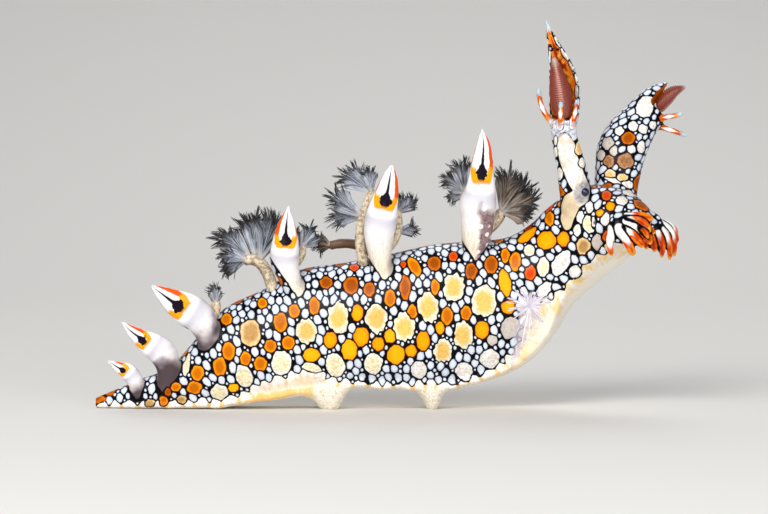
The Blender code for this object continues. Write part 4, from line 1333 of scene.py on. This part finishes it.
# The long patch of the right stalk: white above, sandy below, mottled, and clear round the eye.
patch_colour = paint.mix(paint.step(beak + coarse * 0.2, 0.6, 0.7), (252, 249, 242), (226, 206, 168))
mottled = paint.specks(1100.0, 0.45, 0.58, 4.0, 0.7)
patch_colour = paint.mix(mottled * 0.6, patch_colour, (210, 184, 152))
window_colour = paint.mix(paint.specks(1900.0, 0.4, 0.62, 2.0), (190, 184, 180), (150, 144, 144))
patch_colour = paint.mix(paint.step(u + coarse * 1.6, 1.7, 1.1), patch_colour, window_colour)
colour = paint.mix(is_kind("patch"), colour, patch_colour)
# The inside of the sail: red-brown at its fold, orange to the rim, and a pale tip.
sail_colour = paint.mix(paint.step(abs(u) + coarse, 0.2, 0.5), (140, 40, 14), (244, 122, 18))
sail_colour = paint.mix(paint.specks(1300.0, 0.5, 0.66, 3.0), sail_colour, (252, 166, 60))
sail_colour = paint.mix(paint.step(beak + fine * 0.1, 0.89, 0.95), sail_colour, (198, 214, 222))
colour = paint.mix(is_kind("sail"), colour, sail_colour)

# The foot: cream, with an amber margin and fine wrinkles, and whiter towards its front lobe.
place_x, place_y, place_z = paint.parts(paint.place)
frontward = paint.step(place_x, 0.016, 0.03)
scallop = abs(paint.sum("SINE", u * 1.75))
foot_tint = paint.specks(420.0, 0.45, 0.68, 3.0, 0.6)
foot_colour = paint.mix(foot_tint * 0.45, (250, 241, 220), (250, 218, 152))
margin = paint.step(out + coarse * 0.9, 0.5, 0.12)
margin = margin * (0.85 - frontward * 0.7)
foot_colour = paint.mix(margin, foot_colour, (244, 190, 88))
cleft = paint.step(scallop, 0.35, 0.1) * paint.step(beak, -1.2, -0.5)
foot_colour = paint.mix(cleft * 0.4, foot_colour, (240, 200, 136))
white_lobe = paint.step(scallop + fine, 0.3, 0.55) * paint.step(beak + fine, -1.25, -0.85)
foot_colour = paint.mix(white_lobe, foot_colour, (252, 249, 244))
foot_colour = paint.mix(frontward * 0.7, foot_colour, (246, 240, 230))
# Across it run soft wrinkles, and on the neck yellow streaks from its upper edge.
cross_place = paint.vector(u * 1.5, beak * 0.3, 0.0)
wrinkles = paint.step(paint.grain(cross_place, 1.6, 3.0, 0.6), 0.5, 0.66)
wrinkles = wrinkles * paint.step(beak, -2.9, -1.9)
foot_colour = paint.mix(wrinkles * 0.4, foot_colour, (222, 186, 138))
streak_place = paint.vector(u * 0.8, beak * 0.35, 7.0)
yellow = paint.step(paint.grain(streak_place, 1.3, 3.0, 0.55), 0.42, 0.6)
yellow = yellow * frontward * paint.step(beak, -2.9, -1.2)
foot_colour = paint.mix(yellow * 0.8, foot_colour, (248, 206, 112))
net = paint.grain(paint.place, 1700.0, 1.0)
net = 1.0 - paint.step(abs(net - 0.5), 0.01, 0.04)
folded = 0.0
for middle, back, front, most in GRIPS:
    off_grip = abs(place_x - middle * MM)
    folded = paint.higher(folded, paint.step(off_grip, front * 1.2 * MM, front * 0.7 * MM))
folded = folded * paint.step(beak, -0.5, -1.1)
foot_colour = paint.mix(folded, foot_colour, paint.mix(net * 0.6, (248, 240, 224), (196, 164, 124)))
colour = paint.mix(is_kind("foot"), colour, foot_colour)

# The opening on the right side of the neck: a lilac-white star with streaks that run out of it.
STAR = (24.0, 13.1)
star_x = place_x - STAR[0] * MM
star_z = place_z - STAR[1] * MM
star_far = paint.distance(star_x, star_z) * 1000.0
star_turn = paint.sum("ARCTAN2", star_z, star_x)
ray_place = paint.vector(paint.sum("SINE", star_turn), paint.sum("COSINE", star_turn), star_far * 0.03)
rays = paint.grain(ray_place, 5.5, 2.0, 0.6)
reach = 0.85 + paint.step(rays, 0.38, 0.64) * 2.0
star = 1.0 - paint.step(star_far - reach, -0.2, 0.12)
down = star_z * -1000.0
aside = abs(star_x * 1000.0 + (down * 0.3 - 0.2))
frayed = aside + (down * 0.16 + fine * 2.2)
smear = paint.step(frayed, 1.7, 1.1) * paint.step(down, 0.0, 0.3)
star = paint.higher(star, smear * 0.7) * (place_y < 0.0)
streak = paint.step(paint.grain(ray_place, 14.0, 3.0, 0.6), 0.45, 0.62)
star_colour = paint.mix(streak, (190, 178, 192), (246, 243, 246))
star_colour = paint.mix(paint.step(star_far, 0.05, 0.5), (190, 182, 205), star_colour)

# No two cells are quite as bright as each other. Warm cells have a red-brown halo in the black.
lively = 0.88 + paint.sum("FRACT", kind * 7.0) * 0.14
hue = paint.tree.nodes.new("ShaderNodeHueSaturation")
paint.put(hue.inputs["Value"], lively)
paint.put(hue.inputs["Color"], colour)
warm = is_kind("gold", "amber", "orange", "burnt", "ember", "tan", "umber")
halo = paint.step(edge + wobble, -0.14, -0.02) * warm
dark = paint.mix(halo, BLACK, (92, 26, 6))
colour = paint.mix(inside, dark, Value(paint, hue.outputs[0]))
colour = paint.mix(star, colour, star_colour)
finish = {"Roughness": 0.34, "Specular IOR Level": 0.08, "Coat Weight": 0.05, "Coat Roughness": 0.1}
paint.surface(colour, finish)
bump = paint.tree.nodes.new("ShaderNodeBump")
bump.inputs["Strength"].default_value = 0.35
bump.inputs["Distance"].default_value = 0.00012
height = paint.step(edge, -0.05, 0.2) + fine * 0.3
height = height - wrinkles * is_kind("foot") * 0.9
paint.put(bump.inputs["Height"], height)
paint.put(paint.skin.inputs["Normal"], Value(paint, bump.outputs[0]))
skin_mesh.materials.append(paint.material)

# The eyes: two small dark domes under the clear skin at the roots of the sheaths.
eye_paint = Paint("eye_dark")
eye_paint.surface(shade((14, 24, 62)), {"Roughness": 0.25, "Coat Weight": 0.4})


def piece_of(form, name, material):
    """Makes a finished form into a smooth object of one material."""
    mesh = bpy.data.meshes.new(name)
    form.to_mesh(mesh)
    form.free()
    mesh.materials.append(material)
    mesh.shade_smooth()
    piece = bpy.data.objects.new(name, mesh)
    bpy.context.scene.collection.objects.link(piece)
    return piece


for side, middle in EYES.items():
    form = bmesh.new()
    bmesh.ops.create_uvsphere(form, u_segments=32, v_segments=16, radius=EYE_RADIUS * MM)
    bmesh.ops.translate(form, verts=form.verts, vec=middle * MM)
    eye = piece_of(form, f"eye_dome_{side}", eye_paint.material)
    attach(eye, "root")
    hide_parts(f"eye_{side}")


# The clubs: the smelling organs inside the sheaths, a stack of thin leaves on a core, brown-red.
CLUBS = {
    "right": (
        (28.0, -6.6, 36.5, 0.8), (28.0, -6.8, 37.3, 1.2), (27.8, -7.0, 38.8, 1.35), (27.5, -7.2, 40.6, 1.1),
        (27.2, -7.4, 42.1, 0.7), (26.9, -7.5, 43.5, 0.25),
    ),
    "left": (
        (40.35, 3.1, 37.5, 0.8), (40.9, 3.4, 38.0, 1.15), (41.9, 3.9, 38.9, 1.1), (42.9, 4.5, 39.6, 0.75),
        (44.1, 5.1, 40.1, 0.25),
    ),
}
LEAVES = {"right": 34, "left": 19}

club_paint = Paint("club_red")
turn_round, up_club, rise_leaf = club_paint.parts(club_paint.layer("leaf"))
club_grain = club_paint.grain(club_paint.place, 2200.0, 3.0)
club_colour = club_paint.mix(rise_leaf, (98, 32, 22), (152, 62, 42))
core_line = club_paint.step(abs(turn_round), 0.11, 0.04)
club_colour = club_paint.mix(core_line, club_colour, (182, 118, 100))
club_colour = club_paint.mix(club_grain * 0.35, club_colour, (120, 60, 50))
# The tips are a pale pinkish grey: a paler tip dimmed as painted shade, as the right one lies in the sail's
# shadow.
club_colour = club_paint.mix(club_paint.step(up_club, 0.82, 1.0), club_colour, (186, 160, 150))
club_paint.surface(club_colour, {"Roughness": 0.38, "Coat Weight": 0.2})

for side, rows in CLUBS.items():
    form = bmesh.new()
    leaf_layer = form.verts.layers.float_vector.new("leaf")
    rings = []
    front = OPENING[side].normalized()
    steps_of_leaf = 4
    count = LEAVES[side] * steps_of_leaf
    for i in range(count + 1):
        place = i / count * (len(rows) - 1)
        *here, half_width = smooth_row(rows, place)
        here = Vector(here)
        along = heading(rows, place, 0.3)
        facing = (front - along * front.dot(along)).normalized()
        across = along.cross(facing)
        rise = (0.0, 0.7, 1.0, 0.8)[i % steps_of_leaf] if 0 < i < count else 0.5
        ring = add_ring(form, here, across, facing, 40)
        rings.append(ring)
        for corner in corners_of(ring):
            away = corner.co / MM - here
            turn = math.atan2(away.dot(across), away.dot(facing))
            leaf = 0.8 + 0.2 * rise * (0.35 + 0.65 * min(1.0, abs(turn) * 3))
            size = max(half_width, 0.12) * leaf
            slant = 0.5 * half_width * (math.cos(turn) - 0.5)
            sideways, forward = across * away.dot(across) * size, facing * away.dot(facing) * size * 0.8
            corner.co = (here + sideways + forward - along * slant) * MM
            corner[leaf_layer] = (turn / math.pi, i / count, rise)
    skin_rings(form, rings)
    bmesh.ops.recalc_face_normals(form, faces=form.faces)
    club = piece_of(form, f"club_leaves_{side}", club_paint.material)
    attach(club, "root")
    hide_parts(f"rhinophore_club_{side}")


# The gills: feathery tufts on the inner side of the first four processes of each side. Each is a
# speckled cream stem that parts into flame-shaped blades, and each blade is a pale quill with silky
# strands that leave it at a sharp angle and end in dark curled points.
# Each row: on which side of the body, process, which way they face, x and z of the stem's root, bend
# and end, how brown it is (partly the gill's own brown, partly painted shade), and the angle, the length
# and the place on the stem of each blade.
GILLS = (
    (
        "both", 1, "rear", (16.7, 23.9), (15.8, 25.3), (16.2, 26.9), 0.2,
        ((104, 5.0, 1.0), (142, 3.9, 1.0), (196, 2.7, 1.0)),
    ),
    (
        "both", 1, "front", (18.4, 22.2), (20.1, 23.2), (20.6, 24.6), 0.9,
        ((80, 6.4, 1.0), (50, 6.0, 1.0), (20, 5.4, 1.0), (-9, 4.4, 1.0)),
    ),
    (
        "right", 2, "rear", (3.7, 18.1), (2.2, 22.0), (4.6, 27.0), 0.0,
        ((104, 3.8, 1.0), (128, 5.0, 1.0), (146, 5.2, 1.0), (151, 5.8, 0.7), (174, 4.8, 0.68)),
    ),
    (
        "left", 2, "rear", (4.8, 19.6), (2.4, 21.4), (-0.4, 20.6), 1.0,
        ((172, 3.0, 1.0), (150, 2.8, 1.0), (197, 2.3, 1.0)),
    ),
    (
        "both", 2, "front", (6.3, 20.2), (8.2, 21.6), (7.7, 24.6), 0.0,
        ((62, 2.8, 1.0), (34, 3.4, 1.0), (14, 3.0, 0.55)),
    ),
    (
        "both", 3, "rear", (-7.6, 14.5), (-8.5, 19.3), (-10.9, 18.7), 0.0,
        ((66, 7.0, 0.65), (98, 6.8, 0.75), (130, 6.0, 0.9), (162, 3.8, 1.0), (198, 3.8, 1.0)),
    ),
    (
        "right", 3, "front", (-5.3, 18.0), (-4.1, 19.0), (-4.1, 20.2), 0.0,
        ((72, 3.7, 1.0), (28, 3.2, 1.0)),
    ),
    (
        "left", 3, "front", (-5.3, 18.0), (-4.5, 19.0), (-4.6, 20.2), 0.0,
        ((104, 3.2, 1.0), (76, 2.6, 1.0)),
    ),
    (
        "both", 4, "front", (-15.7, 11.2), (-14.6, 12.1), (-14.8, 13.2), 0.2,
        ((98, 2.8, 1.0), (70, 2.2, 1.0)),
    ),
)
GILL_STEM_RADIUS = 0.6
QUILL_RADIUS = 0.15
QUILL_TAPER = 0.8
STRAND_RADIUS = 0.075
STRANDS_A_MM = 9.0
STRAND_PLACES = (0.0, 0.3, 0.6, 0.82, 1.0)
STRAND_WIDTHS = (0.8, 1.0, 0.95, 0.75, 0.15)
STRAND_BATCH = 8
POINTS = 9
BLADE_SPREAD = 19
WEB_PLACES = (0.04, 0.25, 0.5, 0.72)
WEB_SIDES = 36

gill_paint = Paint("gill_grey")
tone, up_blade, brown_and_shade = gill_paint.parts(gill_paint.layer("strand"))
gill_grain = gill_paint.specks(900.0, 0.3, 0.7, 3.0)
tone_here = tone * 0.75 + gill_grain * 0.35
strand_colour = gill_paint.mix(tone_here, (58, 60, 72), (188, 194, 206))
# Brown strands and stems: partly the gills' own brown, partly painted shade.
brown_and_shade_colour = gill_paint.mix(tone_here, (44, 34, 28), (150, 130, 108))
strand_colour = gill_paint.mix(brown_and_shade, strand_colour, brown_and_shade_colour)
strand_colour = gill_paint.mix(gill_paint.step(up_blade, 0.34, 0.05), strand_colour, (206, 200, 196))
dark_end = gill_paint.step(up_blade + gill_grain * 0.12, 0.66, 0.98)
gill_colour = gill_paint.mix(dark_end, strand_colour, (16, 14, 20))
speckle = gill_paint.specks(2200.0, 0.46, 0.6, 3.0, 0.6)
stem_colour = gill_paint.mix(speckle * 0.75, (226, 210, 182), (142, 112, 88))
stem_colour = gill_paint.mix(gill_paint.step(brown_and_shade, 0.92, 0.98), stem_colour, (112, 84, 60))
gill_colour = gill_paint.mix(tone < 0.0, gill_colour, stem_colour)
gill_paint.surface(gill_colour, {"Roughness": 0.5})


def process_at_height(rows, z):
    """The middle and the half sizes of a process where it is at height z."""
    for low, high in zip(rows, rows[1:]):
        if low[2] <= z <= high[2]:
            share = (z - low[2]) / (high[2] - low[2])
            found = [a + (b - a) * share for a, b in zip(low, high)]
            return Vector(found[:3]), found[3], found[4]
    return Vector(rows[-1][:3]), rows[-1][3], rows[-1][4]


def add_strand(form, layer, line, radii, sides, values):
    """A thin tapered strand along a line of points."""
    rings = []
    for i, (point, radius) in enumerate(zip(line, radii)):
        along = (line[min(i + 1, len(line) - 1)] - line[max(i - 1, 0)]).normalized()
        across = along.cross(Vector((0.1, 1, 0.05))).normalized()
        ring = add_ring(form, point, across * radius, along.cross(across) * radius, sides)
        for corner in corners_of(ring):
            corner[layer] = values[i]
        rings.append(ring)
    skin_rings(form, rings)


def add_blade(tuft_form, base, out, length, brown_and_shade, dice):
    """One blade: a bent quill, a thin web, and strands that leave the quill and fray out at its end."""
    across = out.cross(Vector((0, 1, 0))).normalized()
    deep = across.cross(out)
    curl = length * dice.uniform(-0.16, 0.16)

    def at(share):
        return base + out * length * share + (across * curl + deep * 0.08 * length) * share * share

    form = bmesh.new()
    layer = form.verts.layers.float_vector.new("strand")
    shares = places(0.0, 0.95, 0.16)
    line = [at(share) for share in shares]
    radii = [QUILL_RADIUS * (1.0 - QUILL_TAPER * share) for share in shares]
    values = [(1.0, share, brown_and_shade) for share in shares]
    add_strand(form, layer, line, radii, 5, values)
    # The web lies between the strands. It is streaked, and jagged along its rim.
    rings = []
    phase = dice.uniform(0, 6)
    for share in WEB_PLACES:
        half = 0.1 + length * share * math.tan(math.radians(BLADE_SPREAD)) * 0.95
        ring = add_ring(form, at(share), across * half, deep * (0.12 - 0.1 * share), WEB_SIDES)
        for corner in corners_of(ring):
            sideways = (corner.co / MM - at(share)).dot(across) / half
            streak = math.sin(sideways * 17 + phase) + 0.6 * math.sin(sideways * 41 + phase * 3)
            corner[layer] = (0.5 + 0.3 * streak, share, brown_and_shade)
            jagged = streak * 0.06 if share == WEB_PLACES[-1] else 0.0
            corner.co += out * length * (jagged - 0.16 * share * sideways * sideways) * MM
        rings.append(ring)
    skin_rings(form, rings)
    ends = []
    for i in range(POINTS):
        place = (i + 0.5) / POINTS * 2 - 1
        swing = math.radians(BLADE_SPREAD * place + dice.uniform(-2, 2))
        pointing = out * math.cos(swing) + across * math.sin(swing) + deep * dice.uniform(-0.14, 0.14)
        size = length * (1.04 - 0.26 * place * place) * dice.uniform(0.84, 1.04)
        end = base + (pointing + across * curl / length) * size
        ends.append((end, across * (place * 0.6 + dice.uniform(0.1, 0.5))))
    count = round(length * STRANDS_A_MM)
    for i in range(count):
        share = 0.03 + 0.6 * (i / count)
        root = at(share)
        end, hook = ends[dice.randrange(POINTS)]
        end = end + Vector([dice.uniform(-0.14, 0.14) for axis in range(3)])
        reach = end - root
        bow = (out * reach.length * 0.5 - reach * 0.5) * 0.5 + deep * dice.uniform(-0.3, 0.3)
        line = []
        for t in STRAND_PLACES:
            hooked = hook * max(0.0, t - 0.7) * 3.0
            line.append(root + reach * t + bow * 4 * t * (1 - t) * 0.6 + hooked)
        radii = [STRAND_RADIUS * part for part in STRAND_WIDTHS]
        tone = 1.0 if dice.random() < 0.22 else dice.random() ** 1.3 * 0.8
        values = [(tone, share + (1.0 - share) * t, brown_and_shade) for t in STRAND_PLACES]
        add_strand(form, layer, line, radii, 3, values)
        # Strands join the tuft in small batches, because rings are slow to add to a large form.
        if i % STRAND_BATCH == STRAND_BATCH - 1 or i == count - 1:
            batch = bpy.data.meshes.new("blade_strands")
            form.to_mesh(batch)
            tuft_form.from_mesh(batch)
            bpy.data.meshes.remove(batch)
            form.free()
            form = bmesh.new()
            layer = form.verts.layers.float_vector.new("strand")
    form.free()


def behind(place):
    """The place itself on the right side; on the left, the place that the right one hides."""
    hide = 2 * max(place.y, 0.0) / VIEW_FAR
    return place + Vector(((place.x - VIEW_CENTRE[0]) * hide, 0, (place.z - VIEW_CENTRE[1]) * hide))


dice = random.Random(7)
for word, number, facing, root, bend, end, brown_and_shade, blades in [
    (word, *row[1:]) for word in ("right", "left") for row in GILLS if row[0] in ("both", word)
]:
    side = -1 if word == "right" else 1
    rows = processes[number - 1 + (0 if side < 0 else len(PROCESSES))][0]
    inward = Vector((0, -side, 0))
    low, half_width, low_depth = process_at_height(rows, root[1])
    high, half_width, high_depth = process_at_height(rows, end[1])
    first = behind(Vector((root[0], low.y, root[1]))) + inward * (low_depth * 0.5 + 0.9)
    last = behind(Vector((end[0], high.y, end[1]))) + inward * (high_depth + 0.6)
    middle = behind(Vector((bend[0], (low.y + high.y) / 2, bend[1])))
    middle.y = (first.y + last.y) / 2 - side * 0.3

    def on_stem(share):
        return first * (1 - share) ** 2 + middle * 2 * share * (1 - share) + last * share**2

    # The far side's gills lie out of the light, so their brown is raised as painted shade.
    brown_and_shade = brown_and_shade if side < 0 else max(brown_and_shade, 0.75)
    form = bmesh.new()
    layer = form.verts.layers.float_vector.new("strand")
    shares = places(0.0, 1.0, 0.08)
    line = [on_stem(share) for share in shares]
    line.append(line[-1] + (line[-1] - line[-2]).normalized() * 0.45)
    radii = [GILL_STEM_RADIUS * (1.15 - 0.2 * share + dice.uniform(-0.05, 0.05)) for share in shares]
    radii.append(GILL_STEM_RADIUS * 0.4)
    add_strand(form, layer, line, radii, 16, [(-1.0, 0.0, brown_and_shade)] * len(line))
    for i, (angle, length, share) in enumerate(blades):
        row = (-1, 1, 0)[i % 3]
        angle = math.radians(angle + dice.uniform(-3, 3))
        out = Vector((math.cos(angle), -side * row * 0.2, math.sin(angle))).normalized()
        base = on_stem(share) + inward * row * 0.3 - out * 0.15
        add_blade(form, base, out, length * dice.uniform(0.96, 1.02), brown_and_shade, dice)
    bmesh.ops.recalc_face_normals(form, faces=form.faces)
    tuft = piece_of(form, f"gill_plumes_{word}_{number}_{facing}", gill_paint.material)
    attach(tuft, "root")
    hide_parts(f"gill_{word}_{number}_{facing}")
